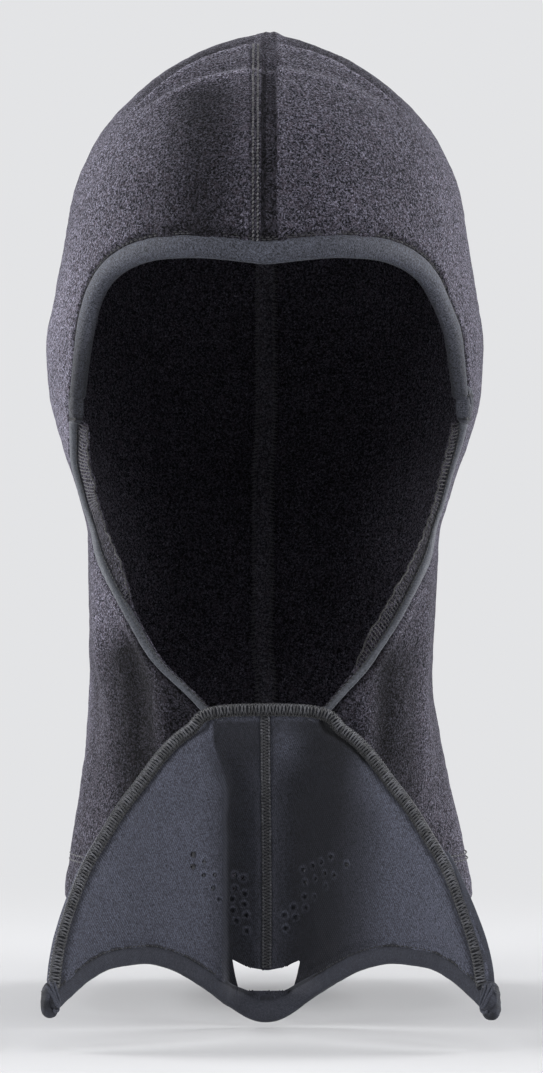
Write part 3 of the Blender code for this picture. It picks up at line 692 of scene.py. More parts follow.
def knit_material(name, colour, pitch, contrast, sheen, bump, rough, speckle):
    """Fine jersey: tiny loops on a steep diagonal from UVs in mm, melange yarn, a little lint."""
    material, g = new_material(name)
    place = g.coords()
    across_uv, along_uv, _ = g.node("ShaderNodeSeparateXYZ", {0: g.coords("UV")}).outputs
    turn = 2 * math.pi / pitch
    wale = g.weigh(across_uv, turn, along_uv, turn * 0.55)
    course = g.math("SUBTRACT", g.mul(along_uv, turn * 1.25), g.mul(across_uv, turn * 0.2))
    wale, course = g.math("SINE", wale), g.math("SINE", course)
    loops = g.weigh(wale, 0.55, g.mul(wale, course), 0.45)
    yarn = g.noise(place, scale=1500, detail=3.0, rough=0.65, distortion=0.2)
    fine_yarn = g.noise(place, scale=3300, detail=1.0)
    cloud = g.noise(place, scale=45, detail=3.0, rough=0.55, distortion=0.2)
    tone = g.remap(loops, gain=contrast * 0.5, plus=1.0)
    melange = g.mul(g.add(g.weigh(yarn, 1.5, fine_yarn, 0.7), -1.1), speckle)
    tone = g.mul(tone, g.add(melange, 1.0))
    tone = g.mul(tone, g.remap(cloud, gain=0.40, plus=0.80))
    tone = g.math("MAXIMUM", g.mul(tone, g.shade()), 0.05)
    lint = g.noise(place, scale=1250, detail=2.0, rough=0.8, distortion=1.5)
    lint = g.ramp(lint, (0.69, 0.0), (0.77, 0.5))
    base = g.mix(lint, (*colour, 1), (*scaled(colour, 2.6), 1))
    g.surface(
        Base_Color=g.toned(base, tone),
        Normal=g.bump(g.weigh(loops, 0.5, yarn, 1.2), distance=bump, strength=0.8),
        Roughness=g.remap(yarn, gain=0.2, plus=rough - 0.1),
        Specular_IOR_Level=0.2,
        Sheen_Weight=sheen,
        Sheen_Roughness=0.35,
        Sheen_Tint=(0.82, 0.86, 0.95, 1),
    )
    return material


def thread_material(name, colour, rough):
    """Twisted thread: fibre streaks, darker in the gaps."""
    material, g = new_material(name)
    place = g.coords()
    ply = g.node("ShaderNodeTexWave", {
        "Vector": place, "Scale": 900, "Distortion": 3.0, "Detail": 2.0,
    }, wave_type="BANDS", bands_direction="DIAGONAL").outputs["Fac"]
    fuzz = g.noise(place, scale=1800, detail=3.0, rough=0.7, distortion=0.4)
    tone = g.mul(g.add(g.weigh(ply, 0.35, fuzz, 0.75), 0.42), g.shade())
    g.surface(
        Base_Color=g.toned((*colour, 1), tone),
        Normal=g.bump(ply, distance=0.00012, strength=0.7),
        Roughness=rough,
        Specular_IOR_Level=0.35,
        Sheen_Weight=0.2,
    )
    return material


def metal_material(name):
    """Nickel with scratches squeezed along z."""
    material, g = new_material(name)
    inputs = {0: g.coords(), 1: (1.0, 1.0, 6.0)}
    place = g.node("ShaderNodeVectorMath", inputs, operation="MULTIPLY").outputs[0]
    scratch = g.noise(place, scale=900, detail=3.0, rough=0.6)
    g.surface(
        Base_Color=g.ramp(scratch, (0.3, (0.42, 0.43, 0.45)), (0.7, (0.66, 0.67, 0.70))),
        Roughness=g.remap(scratch, gain=0.25, plus=0.16),
        Normal=g.bump(scratch, distance=0.00004, strength=0.5),
        Metallic=1.0,
    )
    return material


FLEECE_OUT = fleece_material(
    "charcoal_fleece", dark=(0.0038, 0.0036, 0.0047), light=(0.106, 0.101, 0.132),
    fleck=0.85, sheen=0.30)
FLEECE_IN = fleece_material(
    "fleece_inside", dark=(0.012, 0.012, 0.015), light=(0.095, 0.092, 0.112),
    fleck=0.3, sheen=0.12)
BINDING_KNIT = knit_material(
    "elastic_binding_knit", colour=(0.0355, 0.038, 0.0495), pitch=0.8, contrast=0.35,
    sheen=0.10, bump=0.00012, rough=0.72, speckle=3.2)
JAW_KNIT = knit_material(
    "jaw_binding_knit", colour=(0.058, 0.062, 0.073), pitch=0.8, contrast=0.40,
    sheen=0.14, bump=0.00010, rough=0.62, speckle=1.5)
MASK_KNIT = knit_material(
    "mask_jersey", colour=(0.052, 0.055, 0.074), pitch=0.95, contrast=0.7,
    sheen=0.08, bump=0.00022, rough=0.78, speckle=2.3)
HEM_KNIT = knit_material(
    "eye_edge_jersey", colour=(0.0285, 0.0305, 0.0405), pitch=0.8, contrast=0.35,
    sheen=0.08, bump=0.00010, rough=0.70, speckle=1.3)
ROLL_KNIT = knit_material(
    "roll_core_knit", colour=(0.009, 0.0095, 0.012), pitch=0.8, contrast=0.5,
    sheen=0.05, bump=0.00012, rough=0.85, speckle=0.8)
SERGING = thread_material("serging_thread", colour=(0.064, 0.066, 0.076), rough=0.6)
DARK_THREAD = thread_material("dark_stitching", colour=(0.0075, 0.0075, 0.010), rough=0.75)
COVER_THREAD = thread_material("coverstitch_thread", colour=(0.060, 0.060, 0.069), rough=0.65)
CROWN_THREAD = thread_material("crown_topstitch", colour=(0.070, 0.069, 0.075), rough=0.7)
NICKEL = metal_material("magnet_nickel")

# ------------------------------------------------------------------ hood panels
CHIN_Z = 112.0
# Grid rows of a panel up the throat, round the chin, beside the opening and over the crown
COLUMNS, THROAT_ROWS, CHIN_ROWS, EDGE_ROWS, TOP_ROWS = 277, 80, 18, 150, 56


def column_places():
    """Columns from 0 in front to 1 behind, packed closer towards both ends."""
    u = np.linspace(0, 1, 2001)
    density = 1 / (0.30 + 1.25 * smooth(np.minimum(u, 1 - u) / 0.10))
    total = np.concatenate([[0], np.cumsum((density[1:] + density[:-1]) / 2)])
    return np.interp(np.linspace(0, 1, COLUMNS), total / total[-1], u)


def panel_rows():
    """For every row of a panel: the phi it starts at, and v at its start and at its end."""
    brow = above(EDGE_Z, 207.0, 9)
    line = EDGE.offset(1.0 * (1 - brow) + 3.2 * brow, 0)
    line[:, 0] = np.maximum(line[:, 0], 0.0)
    line[-1, 0] = 0.0
    edge_phi, edge_v = phi_and_v(even(line, EDGE_ROWS))
    edge_phi[-1] = 0.0
    chin_v, brow_v = edge_v[0], edge_v[-1]
    throat = np.linspace(0, chin_v, THROAT_ROWS)
    chin = np.linspace(0, 1, CHIN_ROWS + 2)[1:-1]
    top = 1 - (1 - np.linspace(0, 1, TOP_ROWS + 1)[1:]) ** 1.25
    chin_end = 0.93 * chin_v + 0.03
    blocks = (
        (0.0, throat, throat * 0.93),
        (edge_phi[0] * chin, chin_v, 0.93 * chin_v + 0.03 * chin),
        (edge_phi, edge_v, np.linspace(chin_end, 0.80, EDGE_ROWS)),
        (0.0, brow_v + (1 - brow_v) * top, 0.80 + 0.20 * top),
    )
    return np.concatenate([np.stack(np.broadcast_arrays(*block), -1) for block in blocks])


# Folds in the cloth: start, end, width, height, upward bow
FOLDS = {
    -1: [
        ((-49, -66, 150), (-52, -58, 70), 8.0, -2.2, 0),
        ((-36, -72, 146), (-38, -64, 80), 6.5, 1.3, 0),
        ((-60, -40, 170), (-62, -36, 90), 8.0, 1.4, 0),
        ((-66, -5, 165), (-48, 62, 120), 8.0, -1.9, -6),
        ((-66, 10, 180), (-40, 72, 146), 7.0, 1.4, -6),
        ((-60, 40, 120), (-30, 78, 96), 7.0, -1.4, -4),
        ((-70, -6, 128), (-50, 60, 88), 9.0, 1.3, -6),
        ((-78, 10, 215), (-60, 60, 200), 9.0, -1.1, -4),
        ((-30, 86, 240), (-2, 92, 205), 8.0, 0.8, 0),
        ((-26, 64, 150), (-3, 72, 128), 6.0, 1.4, 0),
        ((-66, -56, 200), (-60, -66, 182), 5.0, -0.9, 0),
    ],
    1: [
        ((46, -70, 140), (51, -60, 74), 7.0, -1.7, 0),
        ((59, -44, 160), (64, -30, 80), 9.0, 1.5, 0),
        ((36, -73, 132), (38, -66, 86), 7.0, 0.9, 0),
        ((66, -2, 172), (44, 66, 132), 8.5, -1.8, -6),
        ((66, 14, 156), (36, 72, 116), 7.5, 1.5, -5),
        ((58, 44, 112), (26, 80, 92), 7.0, -1.2, -4),
        ((76, 6, 212), (56, 66, 192), 9.0, -1.2, -4),
        ((28, 86, 238), (2, 92, 210), 8.0, 0.7, 0),
        ((24, 66, 156), (3, 72, 132), 6.0, 1.2, 0),
    ],
}
# Bends across the crown, a ledge in front and a rim behind it: middle z, drop per square mm
LEDGE, RIM = (350.7, 0.0070), (362.0, 0.0102)


def fold_height(points, start, end, width, height, bow):
    start, end = np.array(start, float), np.array(end, float)
    line = end - start
    t = np.clip(((points - start) @ line) / (line @ line), 0, 1)
    near = start + t[..., None] * line
    near[..., 2] += bow * np.sin(t * math.pi)
    distance = np.linalg.norm(points - near, axis=-1)
    return height * bell(distance, width) * smooth(1 - np.abs(t - 0.5) * 1.6)


def over_bend(bend, x, z):
    """Height above a crown bend."""
    return z - (bend[0] - bend[1] * x ** 2)


def ledge_reach(x, y, half_width, left_gain):
    """Where the ledge is felt, weaker on the left."""
    reach = below(np.abs(x + 2), half_width, 16) * below(y, 6, 14)
    return reach * np.where(x > 6, left_gain, 1.0)


def rim_reach(x, y):
    return below(np.abs(x), 58, 16) * below(y, 16, 10) * above(np.abs(x), 3, 5)


def hood_folds(points, side):
    """Large soft shape changes of a half, along its normal."""
    x, y, z = points[..., 0] * side, points[..., 1], points[..., 2]
    angle = np.arctan2(points[..., 0], -(y - 8))         # 0 in front, pi behind
    over = over_bend(LEDGE, x, z)
    height = ledge_reach(x, y, 50, 0.55) * (0.9 * bell(over + 0.4, 1.3) - 1.3 * bell(over - 3, 2))
    over = over_bend(RIM, x, z)
    height += rim_reach(x, y) * (1.1 * bell(over + 0.3, 1.6) - 1.9 * bell(over - 2.6, 1.7))
    waves = 1.5 * np.sin(angle * 5 * side + 0.6) + 0.8 * np.sin(angle * 9 * side + 2.1)
    height += below(z, 98, 55) * waves * above(np.abs(x), 14, 20)
    for start, end, width, fold, bow in FOLDS[side]:
        fold *= 1.35 if start[1] < -35 else 2.0
        height += fold_height(points * [side, 1, 1], start, end, width, fold, bow)
    slack = np.sin(z / 23.0 + 1.2 * side + np.sin(angle * 3) * 1.3)
    return height + 0.55 * slack * above(angle, 0.9, 0.8)


def jaw_width(z):
    """Width factor of the jaw binding: a thin bead at the chin, wider towards the temple."""
    temple = above(z, 150, 30) * (1 - 0.6 * above(z, 200, 25))
    return 0.39 + 0.36 * above(z, 132, 72) + 0.45 * temple


def brow_width(z):
    """Width factor of the brow binding."""
    return 0.68 + 0.32 * above(z, 228, 30)


def seam_lip(length):
    """x of the left panel's edge, which stands proud of the middle seam."""
    return 3.9 + 0.25 * np.sin(length / 9.0) + 0.12 * np.sin(length / 2.3)


def panel_grid():
    """Smooth points and normals of a half, with the distance to the opening's edge."""
    places = column_places()
    start_phi, start_v, end_v = ROWS.T[:, :, None]
    phi = start_phi + (math.pi - start_phi) * places
    v = start_v + (end_v - start_v) * (smooth(places) * 0.5 + places * 0.5)
    points, normals = hood(phi, v), hood_normal(phi, v)
    normals[0] = unit(normals[0] * [1, 1, 0])
    normals[-1] = [0, 0, 1]
    tree = tree_of(EDGE.path)
    distance, index = np.full(v.shape, 99.0), np.zeros(v.shape, int)
    for i, j in zip(*np.where(points[..., 1] < 0)):
        _, index[i, j], distance[i, j] = tree.find(points[i, j])
    return points, normals, v, distance, index


ROWS = panel_rows()
PANEL, PANEL_OUT, PANEL_V, EDGE_DISTANCE, EDGE_INDEX = panel_grid()


def hood_relief(side):
    """Seam hollows, stitched grooves and puckers of the outer face."""
    x, y, z = np.moveaxis(PANEL, -1, 0)
    length = PANEL_V * HOOD_LENGTH
    # the middle seam
    if side > 0:
        seam = -0.95 * (1 - above(x, seam_lip(length) - 0.45, 0.9)) + 0.55 * bell(x - 6, 1.9)
        seam += 0.16 * pucker(length, 6.1, 1.4, 19) * bell(x - 6, 3.0)
        crown = 1.1 * bell(x - 3.2, 2.6)
    else:
        seam = -0.95 * (1 - above(x, 0.9, 1.0)) + 0.35 * bell(x - 7.4, 2.2)
        seam += 0.14 * pucker(length, 5.6, 1.4, 17) * bell(x - 7, 3.2)
        seam -= 0.30 * sum(bell(x - stitch_x, 0.42) for stitch_x in CROWN_STITCH_X)
        seam -= 0.35 * bell(x - 5.7, 0.6)
        crown = 0.25 * bell(x, 2.5)
    relief = seam * (1 - 0.5 * below(z, 110, 30)) * below(z, 368.5, 4.0)
    relief += crown * above(z, 364.5, 3.0) * (y < 28)
    # beside the bindings
    edge_z = EDGE_Z[EDGE_INDEX]
    brow = above(edge_z, 214, 8)
    groove = 8.9 * brow * brow_width(edge_z) + 4.4 * jaw_width(edge_z) * (1 - brow)
    past = EDGE_DISTANCE - groove
    relief -= (0.95 * brow + 0.6 * (1 - brow)) * bell(past, 0.95)
    relief += 0.55 * bell(past - 3.0, 2.3)
    relief += 0.20 * pucker(EDGE_LENGTH[EDGE_INDEX], 4.3, 0.9, 11) * bell(past - 2.2, 2.2)
    # the neck hem: two stitched grooves with puckers between, then the rounded fold
    relief -= 0.34 * sum(bell(z - stitch_z, 0.6) for stitch_z in HEM_STITCH_Z)
    relief += 0.12 * np.sin(np.arctan2(x, y) * 70) * bell(z - 54.4, 3.0)
    return relief - 1.1 * below(z, 39.8, 2.3) ** 2 + 0.45 * bell(z - 44, 4.5)


def hood_shade(side, folds):
    """Painted shade and light of the nap: painted shade in the middle seam's hollow, in the groove
    beside the bindings, in folds, over forehead and throat; painted highlights on the bends and
    towards the sides.
    """
    x, y, z = np.moveaxis(PANEL, -1, 0)
    back = above(y, 20, 30)
    crown = 1 - 0.55 * above(z, 350, 4) * (y < 20)
    shade = np.ones(x.shape)
    if side > 0:
        lip = seam_lip(PANEL_V * HOOD_LENGTH)
        # painted shade in the hollow of the middle seam, weaker behind and on the crown top, and a
        # painted highlight on the puffed edge beside it
        shade -= (0.62 - 0.26 * back) * (1 - above(x, lip - 0.2, 0.8)) * crown
        shade += 0.10 * bell(x - 6.0, 1.6)
    else:
        # painted shade in the hollow of the middle seam and over the stitched band beside it,
        # weaker behind and on the crown top
        shade -= (0.60 - 0.22 * back) * (1 - above(x, 1.4, 0.9)) * crown
        shade -= 0.20 * (1 - above(x, 5.4, 1.4))
        # painted shade over the middle of the forehead and above the brow, where the side lamps
        # reach less, and painted highlights towards the side of the hood
        forehead = above(z, 268, 22) * (1 - 0.70 * above(z, 340, 10)) * below(y, 4, 20)
        shade -= 0.74 * bell(x - 22, 17) * forehead
        brow = above(z, 268, 16) * (1 - above(z, 300, 24)) * below(y, -10, 20)
        shade -= 0.22 * bell(x - 42, 14) * brow
        shade += 0.12 * bell(x - 62, 16) * above(z, 250, 30)
        shade += 0.41 * above(x, 64, 14) * above(z, 175, 30) * (1 - above(z, 262, 40))
    # painted shade: a dark line in the groove beside the brow and jaw bindings
    edge_z = EDGE_Z[EDGE_INDEX]
    groove_shade_distance = np.where(edge_z > 216, 9.0 * brow_width(edge_z), 4.5 * jaw_width(edge_z))
    shade -= 0.45 * bell(EDGE_DISTANCE - groove_shade_distance, 1.5)
    # painted highlights along the ledge and the rim across the crown, with painted shade just past
    # them
    over = over_bend(LEDGE, x, z)
    reach = ledge_reach(x * side, y, 48, 0.5)
    shade += reach * (0.75 * bell(over + 0.2, 1.0) - 0.10 * bell(over - 3.5, 2.2))
    over = over_bend(RIM, x, z)
    bend = 0.65 * bell(over + 0.2, 1.0) - 0.42 * above(over, 0.9, 1.2) + 0.25 * above(over, 4.5, 2)
    shade += rim_reach(x, y) * bend
    # painted shade and light from the fold heights: lighter on raised folds, darker in sunken ones
    shade += np.clip(0.15 * folds, -0.38, 0.24) * below(z, 230, 20)
    # painted shadow over the throat and neck under the mask, with a painted highlight on one fold
    # of the right half
    throat = below(y, -22, 24) * below(z, 152, 22)
    if side < 0:
        shade -= throat * (0.62 * bell(x - 49, 11) + 0.50 * bell(x - 33, 10))
        shade += 0.14 * throat * bell(x - 40, 3)
        shade *= 1 - 0.50 * throat * below(x, 62, 14)
        neck = below(z, 150, 30) * above(x, 48, 10) * below(y, 10, 30)
        shade *= 1 - 0.41 * neck * (1 - 0.5 * above(x, 66, 3) * above(z, 85, 10))
    else:
        shade -= throat * (0.42 * below(x, 63, 10) + 0.22 * bell(x - 45, 5))
        shade *= 1 - 0.30 * throat * below(x, 62, 14)
        # painted shade over the left half's forehead and neck
        forehead = above(z, 250, 20) * below(y, 20, 30) * below(x, 66, 14)
        shade *= 1 - (0.25 - 0.10 * above(z, 316, 12)) * forehead
        shade *= 1 - 0.32 * below(z, 185, 30) * above(x, 44, 10) * below(y, 10, 30)
    return np.clip(shade, 0.16, 1.8)


def hood_panel(name, side):
    """Builds a half of the hood and returns its outer points."""
    folds = hood_folds(PANEL, side)
    shade = hood_shade(side, folds)
    # the bindings hold the edge still
    hold = np.where(EDGE_DISTANCE < 40, above(EDGE_DISTANCE, 2.5, 7.0), 1.0)
    shape = folds * hold
    crown_fade = below(PANEL_V, 1, 0.03)
    crown = PANEL_V > 0.985
    out = shape * crown_fade + hood_relief(side) * np.where(crown, 0.3, 1.0)
    place = PANEL * [side, 1, 1]
    nap = 0.17 * lumps(place, 2.7, 3) + 0.10 * lumps(place, 1.6, 5)
    nap += 0.30 * lumps(place, 11.0, 7) + 0.35 * lumps(place, 34.0, 9)
    out += nap * np.where(crown, 0.4, 1.0) * above(EDGE_DISTANCE, 1.0, 5.0)
    outer = PANEL + PANEL_OUT * out[..., None]
    inner = PANEL + PANEL_OUT * (shape * 0.9 * crown_fade - (FLEECE - 0.1))[..., None]
    for sheet in (outer, inner):
        sheet[..., 0] = np.maximum(sheet[..., 0], 0.0)
        sheet[:, -1, 0] = 0.0
        sheet[ROWS[:, 0] == 0.0, 0, 0] = 0.0
    points, faces = thick_sheet(outer, inner, 3)
    inside = np.full(len(points) - shade.size, 0.62)
    build("hood_fleece_" + name, (points * [side, 1, 1], faces), FLEECE_OUT, "hood",
          "hood_panel_" + name, shade=np.concatenate([shade.ravel(), inside]))
    return outer * [side, 1, 1]


HOOD_OUTER = {side: hood_panel(name, side) for name, side in SIDES.items()}

# ------------------------------------------------------------------ bindings of the opening
# Cross-sections: across from the opening's edge, out from the fleece
BROW_PROFILE = [
    (8.7, -1.1), (8.3, 0.05), (7.4, 0.75), (6.2, 1.12), (4.8, 1.25), (3.4, 1.15), (2.1, 0.75),
    (1.0, 0.0), (0.25, -1.0), (0.0, -2.1), (0.3, -3.2), (1.1, -4.0), (2.4, -4.4), (4.0, -4.3),
    (5.8, -4.1), (7.4, -3.9), (8.5, -3.4),
]
JAW_PROFILE = [
    (4.5, -1.3), (4.35, 0.2), (3.4, 1.15), (2.1, 1.45), (0.8, 1.10), (-0.05, 0.2), (-0.2, -1.0),
    (0.25, -1.9), (1.2, -2.7), (2.4, -2.95), (3.6, -2.7),
]


def binding(name, cad, ribbon, profile, material, ripple, pitch, seed, width, tone=1.0):
    """A stuffed band along the opening, closing down at both ends."""
    profile = closed_profile(profile, 34)
    for _ in range(2):
        beside = np.roll(profile, 1, 0) + np.roll(profile, -1, 0)
        profile = profile * 0.5 + beside * 0.25
    over, out = profile.T
    length = ribbon.length
    wave = ripple * (pucker(length, pitch, 1.1, 13.0) + 0.6 * wobble(length / 21.0, seed))
    rings = ribbon.rings(over * width[:, None], out + wave[:, None] * above(out, -2.5, 3))
    for k, shrink in enumerate((0.45, 0.8, 0.95)):
        for end in (k, len(rings) - 1 - k):
            middle = rings[end].mean(0)
            rings[end] = middle + (rings[end] - middle) * shrink
    # painted shade on the binding's underside and on its outer edge tucked into the stitch groove
    hollow = 1.0 - 0.45 * below(out, -0.4, 3.0) - 0.25 * above(over, over.max() - 0.9, 0.9)
    shade = np.outer(np.broadcast_to(tone, len(length)), np.clip(hollow, 0.3, 1)).ravel()
    build(name, sweep(rings), material, "hood", cad,
          uv=strip_uv(length, girth(profile)), shade=shade, sharp=SOFT_EDGE)


def brow_binding():
    """From temple to temple over the brow, with two rows of stitches at its upper edge."""
    half = EDGE.cut(slice(nearest(EDGE_Z, 227.2), None))
    ribbon = half.each(lambda table: np.concatenate([table, (table[:-1] * MIRROR)[::-1]]))
    normals = unit(relax(ribbon.out, 40))
    away = perpendicular(relax(ribbon.across, 40), normals)
    ribbon = Ribbon(relax(ribbon.path, 30), normals, away).evened(520)
    x, z = ribbon.path[:, 0], ribbon.path[:, 2]
    width = brow_width(z)
    # painted shade on the binding's sides at the temples, deeper on the right
    tone = 1 - np.where(x < 0, 0.50, 0.36) * below(z, 262, 22)
    binding("brow_binding_knit", "brow_binding", ribbon, BROW_PROFILE, BINDING_KNIT,
            ripple=0.035, pitch=7.0, seed=3, width=width, tone=tone)
    middle = slice(4, -4)
    row = ribbon.offset(8.95 * width, -0.62)[middle]
    outer_row = ribbon.offset(9.75 * width, -0.42)[middle]
    normals = ribbon.out[middle]
    mesh = join(
        stitches(row, normals, pitch=2.3, fill=0.74, radius=0.30, lift=0.1, arch=0.22, seed=5),
        stitches(outer_row, normals, pitch=2.3, fill=0.55, radius=0.22, arch=0.15, seed=6),
    )
    build("brow_binding_stitches", mesh, DARK_THREAD, "hood", "brow_binding_stitch")


brow_binding()


def jaw_ribbon():
    ribbon = EDGE.cut(slice(nearest(EDGE_Z, 220.6)))
    ribbon.path[:2] = (15.0, -86.4, 111.2), (18.0, -83.4, 111.9)     # tucked in under the chin
    ribbon.out[1], ribbon.across[1] = ribbon.out[0], ribbon.across[0]
    ribbon = ribbon.evened(260)
    return Ribbon(relax(ribbon.path, 6), unit(ribbon.out), unit(ribbon.across))


JAW = jaw_ribbon()


def jaw_binding(name, side):
    """The jaw binding with its serged allowance turned in behind it."""
    ribbon, length, z = JAW.mirrored(side), JAW.length, JAW.path[:, 2]
    right = side < 0
    binding("jaw_binding_knit_" + name, "jaw_binding_" + name, ribbon, JAW_PROFILE, JAW_KNIT,
            ripple=0.05, pitch=6.0, seed=7 + side, width=jaw_width(z))
    if right:
        width = (6.8 + 4.6 * bell(z - 193, 18)) * above(z, 149, 14)
    else:
        width = (4.3 + 1.5 * bell(z - 148, 14)) * above(z, 122, 18)
    width = width * (0.62 + 0.38 * below(z, 222, 12)) + 0.5
    width = width * (1 + 0.05 * np.sin(length / 3.1) + 0.05 * np.sin(length / 1.7 + 1))
    row = np.linspace(0, 1, 7)
    depth = 1.1 + 1.5 * row + 0.15 * np.sin(length * 2.1)[:, None] * row
    front = ribbon.rings(-(width[:, None] * row - 0.9), -depth)
    points, faces, _ = masked_slab(front, front - ribbon.out[:, None] * 0.9)
    # painted shade: the turned-in allowance is painted darker, as in the shade behind the binding,
    # more on the left
    build("jaw_seam_allowance_" + name, (points, faces), FLEECE_OUT, "hood",
          shade=0.74 if right else 0.50)

    # threads over the allowance, a wavy cord along its edge and a row of stitches
    at = np.linspace(length[20], length[258], int((length[258] - length[18]) / 1.5))
    place, thread_width = ribbon.at(at), np.interp(at, length, width)
    u = np.linspace(0, 1, 6)
    over = thread_width[:, None] * (0.12 + 0.9 * u) - 0.4
    threads = place.rings(-over, -(1.0 + 1.5 * u - 0.55 * np.sin(u * math.pi)))
    threads += tangents(place.path)[:, None] * (0.55 * (u - 0.5))[:, None]
    wave = 0.35 * np.sin(np.arange(len(at)) * math.pi / 2)
    cord = place.offset(-(thread_width - 0.4), wave - 2.5)
    wide = thread_width > 1.6
    dotted = slice(18, 255)
    thread_mesh = pipes(threads[wide], place.out[wide][:, None], 0.16, 5)
    cord_mesh = pipe(cord[wide], place.out[wide], 0.26)
    dots, dot_faces = stitches(JAW.offset(-0.75, -0.55)[dotted], JAW.out[dotted], pitch=1.9,
                               fill=0.6, radius=0.24, arch=0.2, seed=111 + side)
    # painted shade: the serging is painted dark, darker on the left, to sit in the shade of the
    # turned-in allowance
    shade = np.concatenate([
        mottled(len(thread_mesh[0]), 6 * 5, 77 + side, 0.08, 0.40 if right else 0.10),
        np.full(len(cord_mesh[0]), 0.11 if right else 0.05),
        np.full(len(dots), 0.10),
    ])
    build("jaw_allowance_serging_" + name,
          join(thread_mesh, cord_mesh, (dots * [side, 1, 1], dot_faces)),
          SERGING, "hood", shade=shade * (0.86 if right else 0.62))


for name, side in SIDES.items():
    jaw_binding(name, side)

# ------------------------------------------------------------------ mask surface
EDGE_UP_Z, EDGE_UP_X, EDGE_UP_Y = np.array(MASK_EDGE)[::-1].T


def fold_x(z):
    """x of the sharp fold beside the nose channel, on the wearer's right."""
    return -(14.6 + 5.2 * above(z, 84, 22))


def mask_y(x, z):
    """Depth of the mask's front face: a channel with a sharp right side and a soft left one."""
    away = np.abs(x)
    edge_x, edge_y = (hermite(EDGE_UP_Z, column, z) for column in (EDGE_UP_X, EDGE_UP_Y))
    middle_y = HINGE_Y - 2.5 * below(z, HINGE_Z - 1, 30)
    wing = np.clip((away - 17.0) / np.maximum(edge_x - 17.0, 4), 0, 1.15)
    y = middle_y + (edge_y - middle_y) * wing ** 1.12
    open_ = below(z, HINGE_Z - 2, 32)
    depth = 12.0 * open_ * (1 - 0.12 * below(z, 24, 24))
    fold = fold_x(z)
    steep = 1.7 + 3.5 * above(z, 80, 22)
    soft_side = 1 - above(x, 9.0, 19.0 + 3 * above(z, 70, 30))
    y = y + depth * above(x, fold - steep, 2 * steep) * soft_side
    # the fold stands proud
    y = y - 1.6 * open_ * bell(x - fold + 2.5, 5.0) * (1 - 0.6 * below(z, 30, 20))
    y = y + 0.7 * bell(x - 52, 12) * below(z, 96, 30) * np.sin(z / 15.0)
    return y - 0.6 * bell(x + 46 + (z - 60) * 0.5, 9) * below(z, 100, 20)


def wing_lean(x, z):
    """Both wing ends hang a little towards the wearer's left."""
    return WING_LEAN * below(z, 66, 44) * above(np.abs(x), 22, 36)


def mask_point(x, z):
    return np.stack([x + wing_lean(x, z), mask_y(x, z), z], -1)


def mask_normal(x, z, step=0.5):
    slope_x = (mask_y(x + step, z) - mask_y(x - step, z)) / (2 * step)
    slope_z = (mask_y(x, z + step) - mask_y(x, z - step)) / (2 * step)
    return unit(np.stack([slope_x, -np.ones_like(slope_x), slope_z], -1))


def sideways(path, distance):
    """A flat (x, z) path moved to its left as it runs."""
    along = tangents(path)
    return path + np.stack([-along[:, 1], along[:, 0]], 1) * np.reshape(distance, (-1, 1))


MASK_SIDE = relax(resample([(x, z) for z, x, y in MASK_EDGE[:-1]], 200), 20)
MASK_BOTTOM = relax(resample(MASK_LOW, 300), 14)
MASK_BOTTOM[0, 0] = 0.0


def coons(top, low, centre, edge, columns, rows):
    """Grid filling the patch between four curves."""
    def at(curve, place):
        curve = np.asarray(curve, float)
        length = length_along(curve)
        return sample(place, length / length[-1], curve)

    s, t = np.linspace(0, 1, columns), np.linspace(0, 1, rows)
    top, low = at(top, s)[:, None], at(low, s)[:, None]
    centre, edge = at(centre, t)[None], at(edge, t)[None]
    s, t = s[:, None, None], t[None, :, None]
    corners = (
        (1 - s) * (1 - t) * top[0, 0] + s * (1 - t) * top[-1, 0]
        + (1 - s) * t * low[0, 0] + s * t * low[-1, 0]
    )
    return (1 - t) * top + t * low + (1 - s) * centre + s * edge - corners


def mask_grid():
    """(x, z) grid of a half, inside the serged edge and above the lower band."""
    top_z = HINGE_Z - 0.6
    inner = sideways(MASK_SIDE, -1.6)
    inner = inner[(inner[:, 1] < top_z - 0.5) & (inner[:, 1] > 22.0)]
    band = sideways(MASK_BOTTOM, np.interp(MASK_BOTTOM[:, 0], [0, 9, 16], [7.6, 6.4, 5.6]))
    band = band[band[:, 0] < inner[-1][0] - 0.6]
    band[0, 0] = 0.0
    top_x = inner[0][0]
    top = np.array([(0.0, top_z), (top_x * 0.5, top_z), (top_x - 0.3, top_z - 0.1)])
    return coons(
        top=top,
        low=np.concatenate([band, inner[-1:]]),
        centre=[(0.0, top_z), (0.0, band[0][1])],
        edge=np.concatenate([top[-1:], inner]),
        columns=168, rows=190,
    )


def inside(outline, x, z):
    result = np.zeros(x.shape, bool)
    for (x1, z1), (x2, z2) in zip(outline, np.roll(outline, -1, 0)):
        crossing = x < (x2 - x1) * (z - z1) / (z2 - z1 + 1e-12) + x1
        result ^= ((z1 > z) != (z2 > z)) & crossing
    return result


def cell_means(grid):
    return (grid[:-1, :-1] + grid[1:, :-1] + grid[1:, 1:] + grid[:-1, 1:]) / 4


def distance_to(line, x, z):
    gaps = np.stack([x, z], -1)[:, :, None] - line
    return np.min(np.linalg.norm(gaps, axis=-1), -1)


MASK_GRID = mask_grid()
NOSTRIL_LINE = even(relax(even(NOSTRIL + NOSTRIL[:1], 240), 10), 160)[:-1]
NOSTRIL_TREE = tree_of(np.pad(NOSTRIL_LINE, ((0, 0), (0, 1))))


def snap_to_nostril(x, z):
    for i, j in zip(*np.where((np.abs(x) < 16) & (z < 26))):
        near, _, distance = NOSTRIL_TREE.find((x[i, j], z[i, j], 0))
        if distance < 0.32:
            x[i, j], z[i, j] = near[0], near[1]


